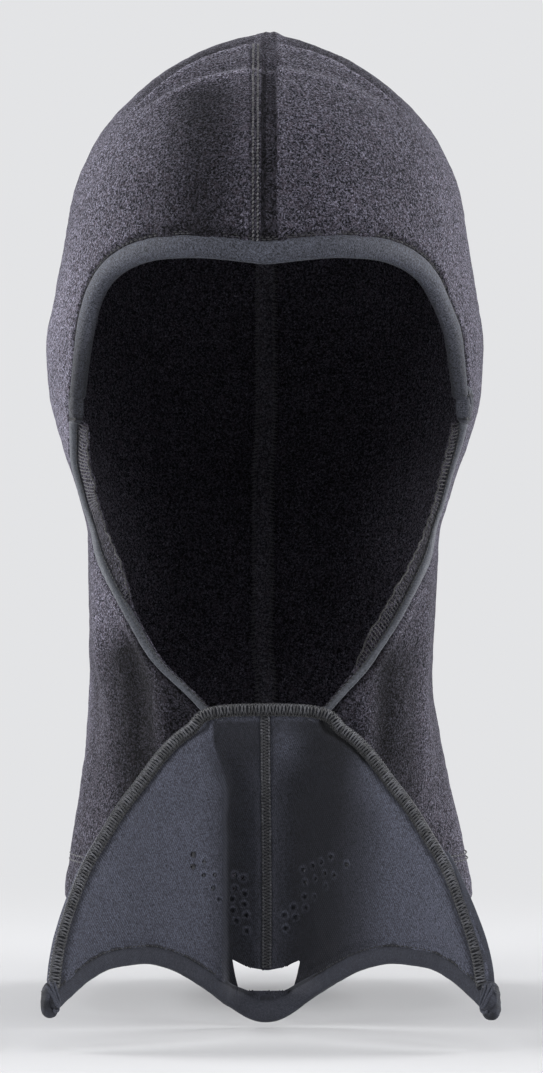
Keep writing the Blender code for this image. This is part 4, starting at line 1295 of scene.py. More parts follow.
def mask_shade(x, z, side_distance, dots, pits):
    """Painted shade and light of the front face: painted shade in the channel, beside its sharp
    fold and beside the roll; painted light on the middle seam and the wings; painted highlights and
    shade at the holes.
    """
    fold = fold_x(z)
    soft_start = 21 + 4 * above(z, 60, 25)
    soft_end = 50 - 9 * above(z, 72, 16) + 14 * above(z, 94, 8)
    # painted shade in the nose channel, deeper on its left part
    channel = above(x, fold - 0.2, 1.2)
    trough = channel * (1 - above(x, soft_start, soft_end - soft_start)) * below(z, 113, 4)
    shade = (1 - 0.74 * trough) * (1 - 0.28 * trough * above(x, 4, 12))
    # painted light on the middle seam and on a patch at the channel's top, painted shade on the
    # wing beside the fold and far right, painted light on the left wing
    shade += channel * below(z, 100, 12) * 0.24 * bell(x - 0.5, 6.0)
    shade += channel * 0.46 * bell(x - 7, 6.0) * bell(z - 101, 8)
    shade -= 0.42 * bell(x - fold + 0.8, 5.0) * (1 - channel) * below(z, 106, 14)
    shade -= 0.10 * bell(x + 47, 7) * below(z, 95, 20)
    shade += 0.12 * bell(x - 58, 14) * bell(z - 45, 22)
    # painted shadow in the groove beside the serged roll
    shade -= 0.62 * bell(side_distance - 5.3, 1.0)
    # painted highlights round the holes' rims, stronger in the channel, and painted shade in the
    # holes
    shade *= (1 + (0.30 + 1.1 * trough) * dots) * (1 - 0.75 * pits)
    return np.clip(shade, 0.06, 1.5)


def mask_panel(name, side):
    x, z = MASK_GRID[..., 0] * side, MASK_GRID[..., 1].copy()
    x[0] = 0.12 * side
    snap_to_nostril(x, z)
    points, normals = mask_point(x, z), mask_normal(x, z)

    # holes: grid points near a rim are moved onto it and the cells inside are dropped
    relief, dots, pits = (np.zeros(x.shape) for _ in range(3))
    middles = cell_means(points)
    keep = ~inside(NOSTRIL_LINE, cell_means(x), cell_means(z))
    hole_x, hole_z = np.array(HOLES[side]).T
    for centre in mask_point(hole_x * side, hole_z):
        outer_right = centre[0] < -26
        is_open = centre[2] > 47
        radius = HOLE_RADIUS + (0.22 if outer_right else 0)
        distance = np.linalg.norm(points - centre, axis=-1)
        rim = np.abs(distance - radius) < 0.30
        points[rim] = centre + (points[rim] - centre) * (radius / distance[rim])[:, None]
        if is_open:
            keep &= np.linalg.norm(middles - centre, axis=-1) > radius
        else:                                # pressed shut where the cloth is folded over
            relief -= 0.75 * (1 - above(distance, 0.30, 0.6))
        relief += 0.30 * bell(distance - 1.45, 0.5) - 0.25 * bell(distance - 0.75, 0.3)
        # painted highlight round each hole's rim, stronger above it, and painted shade in the hole,
        # darker in the open ones
        dots += bell(distance - 1.4, 0.45) * (0.6 + 0.6 * above(points[..., 2], centre[2], 1.2))
        pit_radius = 0.5 + (0.7 if outer_right else 0)
        pits += (1 - above(distance, pit_radius, 0.45)) * (1.0 if is_open else 0.38)

    # grooves along the middle, the serged edge and the lower band, then soft waves
    away = np.abs(x)
    relief += -0.55 * bell(away, 1.0) + 0.30 * bell(away - 3.6, 1.2)
    side_distance = distance_to(MASK_SIDE[::8], x * side, z)
    # the left roll sits further in towards the tip
    moved = side_distance - (1.7 * below(z, 64, 30) if side > 0 else 0.0)
    relief += -0.75 * bell(moved - 5.4, 0.9) + 0.35 * bell(moved - 8.2, 2.2)
    relief += 0.14 * lumps(points, 9.0, 41)
    relief += 0.10 * np.sin(z * 2 * math.pi / 5.2) * bell(side_distance - 7.0, 2.4)
    low_distance = distance_to(MASK_BOTTOM[::6], away, z)
    groove = -0.45 * bell(low_distance - 8.2, 0.6) + 0.25 * bell(low_distance - 10.2, 1.6)
    relief += np.where(away > 16, groove, 0)
    relief += 0.18 * wobble(x / 17.0 + z / 31.0, 11 + side) + 0.12 * wobble(z / 13 - x / 29, 12)
    thickness = NEOPRENE - 0.15 * relief
    thickness += 0.20 * lumps(points, 13.0, 42) + 0.06 * lumps(points, 4.0, 43)
    front = points + normals * relief[..., None]
    back = points - normals * thickness[..., None]
    verts, faces, used = masked_slab(front, back, keep)

    back_shade = 0.95 + 0.10 * lumps(points, 16.0, 44)
    # painted shade along the lower band's stitch groove, beside the roll, down the middle seam and
    # in the holes
    back_shade -= 0.35 * bell(low_distance - 8.2, 0.8) * (away > 12)
    back_shade -= 0.30 * bell(side_distance - 5.2, 1.2) + 0.25 * bell(away, 1.3)
    back_shade = np.clip(back_shade * (1 - 0.7 * pits), 0.06, 1.3)
    front_shade = mask_shade(x, z, moved, dots, pits)
    uv = (MASK_GRID * [side * 1.25, 1]).reshape(-1, 2)
    build("mask_jersey_" + name, (verts, faces), MASK_KNIT, "mask",
          "mask_panel_" + name, uv=np.concatenate([uv, uv])[used],
          shade=np.concatenate([front_shade.ravel(), back_shade.ravel()])[used])


for name, side in SIDES.items():
    mask_panel(name, side)

# ------------------------------------------------------------------ lower band of the mask
# Cross-section: up from the lower edge, out from the mask
HEM_PROFILE = closed_profile([
    (0.0, -0.9), (0.25, 0.05), (1.0, 0.62), (2.4, 0.88), (4.0, 0.86), (5.3, 0.62), (6.2, 0.12),
    (6.7, -0.08), (7.1, 0.10), (7.6, -0.25), (7.5, -1.7), (7.0, -2.5), (5.0, -2.8), (3.0, -2.9),
    (1.2, -2.7), (0.3, -2.0),
], 32)
HEM_XZ = np.concatenate([(MASK_BOTTOM[1:] * [-1, 1])[::-1], MASK_BOTTOM])
HEM_XZ = even(relax(HEM_XZ, 10), 460)
HEM_X = HEM_XZ[:, 0]


def hem_ribbon():
    """Along the lower edge from right to left; across points up."""
    path = mask_point(*HEM_XZ.T)
    bridge = below(np.abs(HEM_X), 34, 16)[:, None]
    path = relax(path, 30) * (1 - bridge) + relax(path, 260) * bridge
    normals = unit(relax(mask_normal(*HEM_XZ.T, 1.5), 120))
    up = across(path, normals)
    return Ribbon(path, normals, up * np.sign(up[:, 2:]))


HEM = hem_ribbon()
HEM_LENGTH = HEM.length


def hem_piece(name, cad, start_x, end_x, extra=0):
    keep = slice(nearest(HEM_X, start_x), nearest(HEM_X, end_x) + extra)
    x, length = HEM_X[keep], HEM_LENGTH[keep]
    width = np.interp(np.abs(x), [0, 9.5, 13.0, 18], [10.3, 9.2, 8.2, 7.5]) / 7.5
    puff = 1 + 0.25 * bell(x, 9.0)
    ripple = 0.06 * np.sin(length * 2 * math.pi / 6.2) + 0.10 * wobble(length / 15.0, 21)
    over, out = HEM_PROFILE.T
    puffed = out * np.where(out > 0, puff[:, None], 1) + ripple[:, None]
    rings = HEM.cut(keep).rings(over * width[:, None], puffed)
    # painted shade in the stitch groove along the band and, a little, along its lower edge
    shade = 1.0 - 0.62 * bell(over - 6.6, 0.55) - 0.12 * below(over, 0.8, 0.8)
    build(name, sweep(rings), HEM_KNIT, "mask", cad,
          uv=strip_uv(length, girth(HEM_PROFILE)),
          shade=np.tile(np.clip(shade, 0.25, 1), len(x)), sharp=SOFT_EDGE)


BRIDGE_X, HEM_END_X = 13.0, 75.5
hem_piece("eye_edge_hem_left", "eye_edge_binding_left", BRIDGE_X, HEM_END_X)
hem_piece("eye_edge_hem_right", "eye_edge_binding_right", -HEM_END_X, -BRIDGE_X, extra=1)
hem_piece("nose_bridge_band", "nose_bridge_strap", -BRIDGE_X, BRIDGE_X, extra=1)
for name, side in SIDES.items():
    row = HEM.cut((HEM_X * side > 19) & (HEM_X * side < 73))
    mesh = stitches(row.offset(6.65, 0.12), row.out, pitch=2.1, fill=0.74, radius=0.25,
                    lift=-0.06, arch=0.18, seed=30 + side)
    build("eye_edge_stitches_" + name, mesh, DARK_THREAD, "mask",
          "eye_edge_stitch_" + name)

# ------------------------------------------------------------------ serged edge of the mask
# Middle of the chin to where the roll turns down the side: x, y, z
CHIN_ROLL = np.array([
    (0, -86.8, 114.5), (7, -86.8, 114.45), (14, -86.7, 114.2), (20, -86.7, 113.4),
    (25.2, -87.2, 111.5),
])
ROLL_DEPTH, ROLL_SINK = 1.45, 0.35           # half depth, and how far it sits into the cloth


def roll_ribbon():
    """The roll from the right tip over the chin to the left tip; across points outwards."""
    line = sideways(MASK_SIDE, -2.8)
    x, z = line[(line[:, 1] < 108.5) & (line[:, 1] > 14.5)].T
    right, right_out = mask_point(x, z) * MIRROR, mask_normal(x, z, 1.0) * MIRROR
    right[:, 0] += 2 * wing_lean(mask_point(x, z)[:, 0], z)
    left_x = x - 1.7 * below(z, 64, 30) * above(z, 10, 12)     # leaves a plain lip outside
    chin_out = np.tile([0, -1.0, 0.25], (2 * len(CHIN_ROLL) - 1, 1))
    path = np.concatenate([
        right[::-1], (CHIN_ROLL[1:] * MIRROR)[::-1], CHIN_ROLL, mask_point(left_x, z)])
    out = np.concatenate([right_out[::-1], chin_out, mask_normal(left_x, z, 1.0)])
    ribbon = Ribbon(path, out, out).evened(700)
    path = relax(ribbon.path, 60)
    out = perpendicular(relax(ribbon.out, 60), tangents(path))
    return Ribbon(path, out, -across(path, out))


ROLL = roll_ribbon()
ROLL_LENGTH = ROLL.length
ROLL_WIDTH = 1.85 + 0.5 * below(ROLL.path[:, 2], 44, 26)     # half width, wider at the tips


def roll_piece(name, cad, start, end):
    angle = np.linspace(0, 2 * math.pi, 24, endpoint=False)
    keep = slice(start, end)
    length = ROLL_LENGTH[keep]
    swell = 1 + 0.035 * np.sin(length * 2 * math.pi / 1.9) + 0.03 * wobble(length / 9.0, 41)
    swell = swell[:, None]
    rings = ROLL.cut(keep).rings(
        np.cos(angle) * ROLL_WIDTH[keep, None] * swell,
        (np.sin(angle) * ROLL_DEPTH - ROLL_SINK) * swell)
    build(name, sweep(rings), ROLL_KNIT, "mask", cad,
          uv=strip_uv(length, angle * 2.2), sharp=SOFT_EDGE)


# Slanting threads: slant along the roll, gap over the roll, first and last angle, radius
SERGING_THREADS = ((1.5, 0.08, -26, 208, 0.27), (-1.5, 0.20, 4, 186, 0.21))
# Cords along the roll: angle, radius, shade
SERGING_CORDS = ((10, 0.30, 0.16), (166, 0.26, 0.75))
SERGING_PITCH = 1.25


def serging(name, start, end, shade_gain=0.78):
    """Two layers of slanting threads round the roll and a wavy cord along each side."""
    first, last = ROLL_LENGTH[start], ROLL_LENGTH[end]
    rng = np.random.default_rng(50 + start)
    meshes, shades = [], []
    count = int((last - first) / SERGING_PITCH)
    u = np.linspace(0, 1, 9)
    for slant, gap, first_angle, last_angle, radius in SERGING_THREADS:
        middle = first + (np.arange(count) + 0.5) * (last - first) / count
        middle = middle + rng.uniform(-0.16, 0.16, count)
        angle = np.radians(first_angle + (last_angle - first_angle) * u)
        at = middle[:, None] + (slant + rng.uniform(-0.45, 0.45, (count, 1))) * (u - 0.5)
        gaps = gap + rng.uniform(-0.07, 0.10, (count, 1))
        place = ROLL.at(at).unit()
        width = np.interp(at, ROLL_LENGTH, ROLL_WIDTH) + gaps
        depth = np.sin(angle) * (ROLL_DEPTH + gaps) - ROLL_SINK
        turned = np.cos(angle)[:, None], np.sin(angle)[:, None]
        outward = unit(-place.across * turned[0] + place.out * turned[1])
        paths = place.offset(-np.cos(angle) * width, depth)
        meshes.append(pipes(paths, outward, radius, 5))
        lit = 0.22 + 0.78 * above(np.degrees(angle), 28, 62)
        shade = mottled(count * 45, 45, 60 + start, 0.4, 1.7).reshape(count, 9, 5)
        shades.append((shade * lit[:, None]).ravel())
    at = np.linspace(first, last, int((last - first) / 0.35))
    place = ROLL.at(at).unit()
    turn = at * 2 * math.pi / SERGING_PITCH
    width = np.interp(at, ROLL_LENGTH, ROLL_WIDTH) + 0.2
    for degrees, radius, shade in SERGING_CORDS:
        angle = math.radians(degrees)
        path = place.offset(
            -(math.cos(angle) * width + 0.24 * np.sin(turn)),
            math.sin(angle) * (ROLL_DEPTH + 0.2) - ROLL_SINK + 0.15 * np.cos(turn))
        meshes.append(pipe(path, place.out, radius))
        shades.append(np.full(len(at) * 6, shade))
    build(name, join(*meshes), SERGING, "mask",
          shade=np.concatenate(shades) * shade_gain)


chin_start, chin_end = (nearest(ROLL.path[:, 0], x) for x in (-25.0, 25.0))
roll_piece("mask_edge_roll_right", "mask_edge_overlock_right", 0, chin_start + 2)
roll_piece("chin_seam_roll", "chin_hinge_overlock", chin_start - 1, chin_end + 2)
roll_piece("mask_edge_roll_left", "mask_edge_overlock_left", chin_end - 1, 700)
serging("edge_serging_right", 2, chin_start)
serging("chin_serging", chin_start, chin_end, shade_gain=0.55)
serging("edge_serging_left", chin_end, 697)


def mask_lip():
    """Plain lip of jersey outside the roll, on the wearer's left."""
    z = np.linspace(66.0, 14.0, 150)
    grow = below(z, 66, 26)
    x = np.interp(z, MASK_SIDE[::-1, 1], MASK_SIDE[::-1, 0]) - 0.2 - 2.1 * grow
    path, normals = mask_point(x, z), relax(mask_normal(x, z, 1.0), 30)
    angle = np.linspace(0, 2 * math.pi, 28, endpoint=False)
    rings = Ribbon(path, normals, across(path, normals)).rings(
        np.cos(angle) * (0.5 + 2.0 * grow)[:, None],
        np.sin(angle) * 0.95 * (0.6 + 0.4 * grow)[:, None] - 0.9)
    build("mask_edge_lip_left", sweep(rings), HEM_KNIT, "mask",
          uv=strip_uv(z, angle * 2.0), shade=1.15, sharp=SOFT_EDGE)


mask_lip()


# ------------------------------------------------------------------ middle seam of the mask
def mask_seam():
    """A flat tape down the middle with a zigzag thread and slanting stitches along its edges."""
    z = np.linspace(112.0, 19.0, 360)
    x = 0.35 * np.sin(z / 26.0)
    path, normals = mask_point(x, z), unit(mask_normal(x, z, 2.0) * [0.3, 1, 1])
    seam = Ribbon(path, normals, across(path, normals))
    length = seam.length
    over, out = np.array([                   # cross-section of the tape: across, out
        (-1.95, -0.25), (-1.8, 0.14), (-1.1, 0.30), (0, 0.16), (1.1, 0.30), (1.8, 0.14),
        (1.95, -0.25), (0, -0.5),
    ]).T
    build("mask_seam_tape", sweep(seam.rings(over, out)), HEM_KNIT, "mask",
          uv=strip_uv(length, np.arange(8) * 0.7), shade=0.34, sharp=SOFT_EDGE)

    turns = np.linspace(0.3, length[-1] - 0.3, int(length[-1] / 0.62))
    swing = subdivide(np.where(np.arange(len(turns)) % 2 == 0, 1.0, -1.0), 5)
    place = seam.at(subdivide(turns, 5)).unit()
    path = place.offset(swing * 1.25, 0.34 + 0.12 * (1 - swing ** 2))
    meshes = [pipe(path, place.out, 0.20)]
    shades = [np.full(len(meshes[0][0]), 0.42)]
    for row_over, row_seed in ((-1.35, 61), (1.35, 62)):
        for skew, layer in ((0.5, 0), (-0.5, 3)):
            seed = row_seed + layer
            mesh = stitches(seam.offset(row_over, 0), seam.out, pitch=1.15, fill=0.62,
                            radius=0.27, lift=0.34 + 0.04 * layer, arch=0.18, seed=seed,
                            side_wave=0.08, skew=skew)
            meshes.append(mesh)
            shades.append(mottled(len(mesh[0]), STITCH_POINTS, seed, 0.25, 1.25))
    build("mask_center_stitching", join(*meshes), SERGING, "mask",
          "mask_center_coverstitch", shade=np.concatenate(shades))


mask_seam()

# ------------------------------------------------------------------ crown and throat stitching
# v where the crown narrows to a half width of 4.6, and where the crown seam starts above the brow
RIDGE_V = float(np.interp(-4.6, -LEVEL_TABLE[1][2160:], TABLE_V[2160:]))
CROWN_V = EDGE_V[-1] + 0.022
SEAM_TREE = tree_of(np.concatenate([
    HOOD_OUTER[-1][:, :62].reshape(-1, 3), HOOD_OUTER[-1][:, -62:].reshape(-1, 3)]))


def seam_path(x, front, start_v, end_v, count, ease):
    """Path and normals up the front or back of the hood at this x."""
    v = end_v - (end_v - start_v) * (1 - np.linspace(0, 1, count)) ** ease
    phi = phi_of_x(x, v)
    if not front:
        phi = math.pi - phi
    return hood(phi, v), hood_normal(phi, v)


def over_crown(x, front_count, back_v, back_count):
    """Path and normals from the brow over the crown and down to back_v behind."""
    front = seam_path(x, True, CROWN_V, RIDGE_V, front_count, ease=1.7)
    back = seam_path(x, False, back_v, RIDGE_V, back_count, ease=1.7)
    return [np.concatenate([up, down[:-1][::-1]]) for up, down in zip(front, back)]


def onto_hood(path, normals):
    """Moves a line to the outer face of the right panel."""
    moved = path.copy()
    for i, (point, normal) in enumerate(zip(path, normals)):
        total, weights = 0.0, 0.0
        for near, _, distance in SEAM_TREE.find_n(point, 6):
            weight = 1 / (0.3 + distance)
            total += weight * float((np.array(near) - point) @ normal)
            weights += weight
        moved[i] = point + normal * (total / weights)
    return moved


def seam_stitching(name, cad, line):
    """Two rows of stitches on the right panel, each over a dark thread that paints the shade in its
    groove between the stitches.
    """
    meshes, shades = [], []
    for x in CROWN_STITCH_X:
        path, normals = line(x)
        path[:, 0] = x
        normals = unit(normals * [0.2, 1, 1]) * MIRROR
        path = relax(onto_hood(path * MIRROR, normals), 4)
        path = path - normals * (1.3 * above(path[:, 2], 361.5, 4.0))[:, None]
        top = stitches(path, normals, pitch=1.55, fill=0.50, radius=0.33, lift=0.10, arch=0.26,
                       seed=int(70 + x), side_wave=0.16, skew=0.45)
        # a dark thread under the stitches, standing in for the shade in the groove between them
        under = stitches(path, normals, pitch=1.55, fill=0.97, radius=0.26, lift=-0.10,
                         arch=0.05, seed=int(80 + x), side_wave=0.05)
        meshes += [top, under]
        shades += [
            mottled(len(top[0]), STITCH_POINTS, int(90 + x), 0.35, 1.5),
            np.full(len(under[0]), 0.10),
        ]
    build(name, join(*meshes), CROWN_THREAD, "hood", cad,
          shade=np.concatenate(shades))


seam_stitching("crown_seam_stitching", "crown_seam_coverstitch",
               lambda x: over_crown(x, 260, 0.030, 420))
seam_stitching("throat_seam_stitching", "throat_seam_coverstitch",
               lambda x: seam_path(x, True, 0.030, EDGE_V[0] - 0.012, 260, ease=1.0))


def crown_tape():
    """Tape inside the crown and nape seam, serged along both edges."""
    path, normals = over_crown(3.4, 80, 0.066, 160)
    path, normals = path * [0, 1, 1], unit(normals * [0, 1, 1])
    tape = Ribbon(path, normals, across(path, normals))
    length = tape.length
    depth = FLEECE + 1.35
    sway = 0.35 * wobble(length / 16.0, 81)
    over, out = closed_profile([             # cross-section: across, out
        (-4.2, -0.6), (-3.6, 0.35), (-1.2, 0.55), (0, 0.2), (1.2, 0.55), (3.6, 0.35),
        (4.2, -0.6), (1.6, -1.1), (0, -1.5), (-1.6, -1.1),
    ], 21).T
    build("crown_seam_tape", sweep(tape.rings(over + sway[:, None], out - depth)), FLEECE_IN,
          "hood", "crown_seam_allowance", shade=1.25, sharp=SOFT_EDGE)
    at = np.linspace(1, length[-1] - 1, int(length[-1] / 1.6))
    u = np.linspace(-1, 1, 6)
    meshes = []
    for edge in (-3.6, 3.6):
        place = tape.at(at).unit()
        place.path = sample(at, length, tape.offset(edge + sway, -depth))
        paths = place.rings(u * 1.1 * np.sign(edge), -(1.05 + 0.1 * (1 - u ** 2)))
        paths += tangents(place.path)[:, None] * (u * 0.3)[:, None]
        meshes.append(pipes(paths, -place.out[:, None], 0.24, 5))
    build("crown_tape_serging", join(*meshes), COVER_THREAD, "hood")


crown_tape()

# ------------------------------------------------------------------ neck hem
NECK_COUNT, NECK_ROWS = 520, 12
NECK_ANGLE = np.linspace(0, 2 * math.pi, NECK_COUNT, endpoint=False)
NECK_PHI = np.where(NECK_ANGLE <= math.pi, NECK_ANGLE, 2 * math.pi - NECK_ANGLE)
NECK_SIDE = np.where(NECK_ANGLE <= math.pi, 1.0, -1.0)


def neck_ring(v, out, fold_gain=0.9):
    """A ring round the whole hood, moved out from its surface."""
    points = hood(NECK_PHI, v)
    folds = np.where(NECK_SIDE > 0, hood_folds(points, 1), hood_folds(points, -1))
    level_out = hood_normal(NECK_PHI, v) * [1, 1, 0.3]
    points = points + level_out * (out + folds * fold_gain)[:, None]
    points[:, 0] *= NECK_SIDE
    return points


def neck_turnup():
    """The hem turned up inside the neck, with a wavy upper edge."""
    row_v = np.linspace(0.0045, 0.043, NECK_ROWS)
    wave = 0.35 * np.sin(NECK_ANGLE * 23) + 0.25 * np.sin(NECK_ANGLE * 41 + 1)
    sheets = []
    for depth in (1.75, 0.55):
        sheet = np.stack([neck_ring(v, -(FLEECE + depth)) for v in row_v], 1)
        sheet[..., 2] += wave[:, None] * np.linspace(0, 1, NECK_ROWS)
        sheets.append(sheet.reshape(-1, 3))
    count = NECK_COUNT * NECK_ROWS
    low = np.arange(NECK_COUNT) * NECK_ROWS
    next_low = np.roll(low, -1)
    high, next_high = low + NECK_ROWS - 1, next_low + NECK_ROWS - 1
    faces = np.concatenate([
        grid_quads(NECK_COUNT, NECK_ROWS, True),
        grid_quads(NECK_COUNT, NECK_ROWS, True, count)[:, ::-1],
        np.stack([low, low + count, next_low + count, next_low], -1),
        np.stack([high, next_high, next_high + count, high + count], -1),
    ])
    build("neck_hem_turnup", (np.concatenate(sheets), faces), FLEECE_IN, "hood",
          "neck_hem_band", shade=1.1)


def neck_stitches():
    meshes = []
    for z, seed in zip(HEM_STITCH_Z, (91, 92)):
        v = v_at(z)
        path = neck_ring(v, -0.12, fold_gain=1.0)
        normals = hood_normal(NECK_PHI, v)
        normals[:, 0] *= NECK_SIDE
        path, normals = (np.concatenate([ring, ring[:1]]) for ring in (path, normals))
        meshes.append(stitches(path, normals, pitch=2.6, fill=0.76, radius=0.29, lift=0.15,
                               arch=0.2, seed=seed))
    build("neck_hem_stitches", join(*meshes), COVER_THREAD, "hood",
          "neck_hem_coverstitch", shade=0.72)


neck_turnup()
neck_stitches()


# ------------------------------------------------------------------ chin gusset
def chin_gusset():
    """From the hood's fleece to the rolled seam at the chin."""
    x, row = np.linspace(-23.5, 23.5, 80)[:, None], np.linspace(0, 1, 8)
    v = v_at(CHIN_Z - 1.5)
    hood_y = hood(phi_of_x(np.abs(x), v), v)[..., 1] + 1.0
    low_z, high_z = CHIN_Z - 1.8, 112.6
    y = hood_y + (-85.3 - hood_y) * row
    z = low_z + (high_z - low_z) * row - np.sin(row * math.pi)
    front = np.stack(np.broadcast_arrays(x, y, z), -1)
    points, faces, _ = masked_slab(front, front + [0, 0.4, 1.7])
    build("chin_gusset", (points, faces), FLEECE_IN, "hood")


chin_gusset()


# ------------------------------------------------------------------ magnet pockets
def pillow(centre, axes, size, bumps, side, groove, box=(0.7, 0.75)):
    """A soft stuffed pocket. Bumps are (u, v, width, height); box holds the squareness
    exponents. Returns points, faces and the (u, v) of every point."""
    around, rows = 72, 44
    u_axis, v_axis, out_axis = axes
    angle, rise = np.meshgrid(
        np.linspace(0, 2 * math.pi, around, endpoint=False),
        np.linspace(-math.pi / 2, math.pi / 2, rows), indexing="ij")

    def power(value, exponent):
        return np.sign(value) * np.abs(value) ** exponent

    girth_scale = power(np.cos(rise), box[0])
    u = girth_scale * power(np.cos(angle), box[1]) * size[0] / 2
    v = girth_scale * power(np.sin(angle), box[1]) * size[1] / 2
    out = power(np.sin(rise), 0.85) * size[2] / 2
    lift = groove(u, v) * above(out, -0.3, 0.8) + 0.10 * np.sin(u * 2.3 + v) * np.cos(v * 1.9)
    for bump_u, bump_v, width, height in bumps:
        near = np.exp(-((u - bump_u) ** 2 + (v - bump_v) ** 2) / width ** 2)
        lift += height * near * (out > -0.2)
    grid = centre + u_axis * u[..., None] + v_axis * v[..., None]
    grid = (grid + out_axis * (out + lift)[..., None]) * [side, 1, 1]
    # each pole row is welded to one point
    count = around * (rows - 2)
    index = np.pad(np.arange(count).reshape(around, rows - 2), ((0, 0), (1, 1)))
    index[:, 0], index[:, -1] = count, count + 1
    faces = index.ravel()[grid_quads(around, rows, True)].tolist()
    faces = [list(dict.fromkeys(face)) for face in faces]
    poles = [grid[:, 0].mean(0), grid[:, -1].mean(0)]
    points = np.concatenate([grid[:, 1:-1].reshape(-1, 3), poles])
    uv = np.stack([u, v], -1)[:, 1:-1].reshape(-1, 2)
    return points, faces, np.concatenate([uv, np.zeros((2, 2))])


def pocket_axes(u_axis, v_axis):
    u_axis = unit(np.array(u_axis))
    v_axis = perpendicular(v_axis, u_axis)
    return u_axis, v_axis, np.cross(u_axis, v_axis)


def roughen(points, *layers):
    """Pushes points away from their middle by layers of (amount, lump size, seed)."""
    push = sum(amount * lumps(points, size, seed) for amount, size, seed in layers)
    return points + push[:, None] * unit(points - points.mean(0))


def bar_tack(centre, axes, length, width, count, side, radius):
    """A dense zigzag running along the pocket's v axis."""
    u_axis, v_axis, out = axes
    swing = np.where(np.arange(count) % 2 == 0, 1, -1) * width / 2
    run = np.linspace(-length / 2, length / 2, count)
    path = subdivide(centre + v_axis * run[:, None] + u_axis * swing[:, None], 4)
    path = path + out * np.tile([0, 0.14, 0.2, 0.14], count - 1)[:, None]
    return pipe(path * [side, 1, 1], out * [side, 1, 1], radius)


def left_temple_folds(u, v):
    folds = -0.6 * bell(v - 1.2 - 0.30 * u, 0.5) * above(u, -3, 4)
    return folds - 0.5 * bell(u - 4.0 + 0.3 * v, 0.6) - 0.3 * bell(u + 4.9, 0.5)


def right_temple_folds(u, v):
    folds = -0.80 * bell(u - 3.0 - 0.10 * v ** 2, 0.5) - 0.60 * bell(u - 4.9 + 0.35 * v, 0.45)
    folds -= 0.5 * bell(v + 0.6 - 0.2 * u, 0.4) * above(u, 2.6, 0.8)
    return folds - 0.5 * bell(u + 5.4, 0.5)


# Per side: size, folds, squareness, base shade, shift in x away from the middle
TEMPLE = {
    1: ((14.4, 8.6, 5.5), left_temple_folds, (0.6, 0.62), 0.74, 0.1),
    -1: ((14.6, 6.6, 4.5), right_temple_folds, (0.45, 0.42), 0.52, -1.1),
}


def temple_pocket(name, side):
    """A pocket where the jaw and brow bindings meet, with two bar tacks over it."""
    size, folds, box, base_shade, shift = TEMPLE[side]
    i = nearest(EDGE_Z, 224.3)
    out = EDGE.out[i]
    centre = EDGE.path[i] + EDGE.across[i] * (BROW_BAND / 2 - 0.75) - out * 0.35
    centre = centre + [shift, 0, 0.3]
    axes = pocket_axes((0.0, 0.05, 1.0), np.cross(out, (0, 0, 1)))
    bumps = ((0.5, 0.0, 3.0, 0.35), (-2.4, 1.0, 1.6, 0.30), (3.9, -1.6, 1.3, 0.5))
    points, faces, uv = pillow(centre, axes, size, bumps, side, folds, box)
    points = roughen(points, (0.14, 1.7, 21), (0.12, 3.4, 22))
    u, v = uv.T
    # painted shade along the fold near the top and in the fold at the bottom of the pocket
    shade = base_shade - 0.36 * bell(u - 3.0 - 0.10 * v ** 2, 0.5) - 0.45 * bell(u + 5.5, 0.55)
    shade += above(u, 2.4, 0.8) * 0.55 * lumps(points, 1.3, 23)
    build("temple_pocket_" + name, (points, faces), BINDING_KNIT, "hood",
          "temple_magnet_pocket_" + name, uv=uv, shade=np.clip(shade, 0.15, 1.4),
          sharp=SOFT_EDGE)
    u_axis, _, out_axis = axes
    low_u, high_u = 5.6, 3.1                 # distance of the tacks below and above the middle
    low_out = size[2] / 2 * (1 - (low_u * 2 / size[0]) ** 4.4) ** 0.85 - 0.30
    low = centre - u_axis * low_u + out_axis * low_out
    high = centre + u_axis * high_u + out_axis * (size[2] / 2 - 0.75)
    mesh = join(
        bar_tack(low, axes, length=6.2, width=0.7, count=21, side=side, radius=0.20),
        bar_tack(high, axes, length=4.6, width=0.5, count=15, side=side, radius=0.15),
    )
    build("temple_bartack_threads_" + name, mesh, DARK_THREAD, "hood",
          "temple_bar_tack_" + name)


# Cords lying over a tip pocket: path in the pocket's (u, v), radius
TIP_CORDS = (
    ([(-5.8, 1.9), (-4.2, 1.7), (-2.2, 0.9), (-0.2, -0.2), (1.2, -1.3), (1.9, -1.9),
      (2.3, -1.5), (1.9, -0.7), (0.6, 0.5), (-1.2, 1.6), (-3.0, 2.7), (-4.6, 3.0)], 0.66),
    ([(-6.0, -0.4), (-4.4, 0.2), (-2.6, -0.5), (-0.8, -1.6), (0.8, -2.7), (2.6, -3.0),
      (3.8, -2.0), (4.1, -0.4), (3.4, 0.8)], 0.58),
)
# Per side: size, centre's shift from TIP, base shade, how far cords spread along v
TIP_POCKET = {
    1: ((13.6, 7.8, 5.4), (0.2 + WING_LEAN, 0.1, 0.6), 0.80, 1),
    -1: ((12.8, 6.9, 5.4), (0.1 - WING_LEAN, 0.1, 1.0), 0.62, 0.9),
}


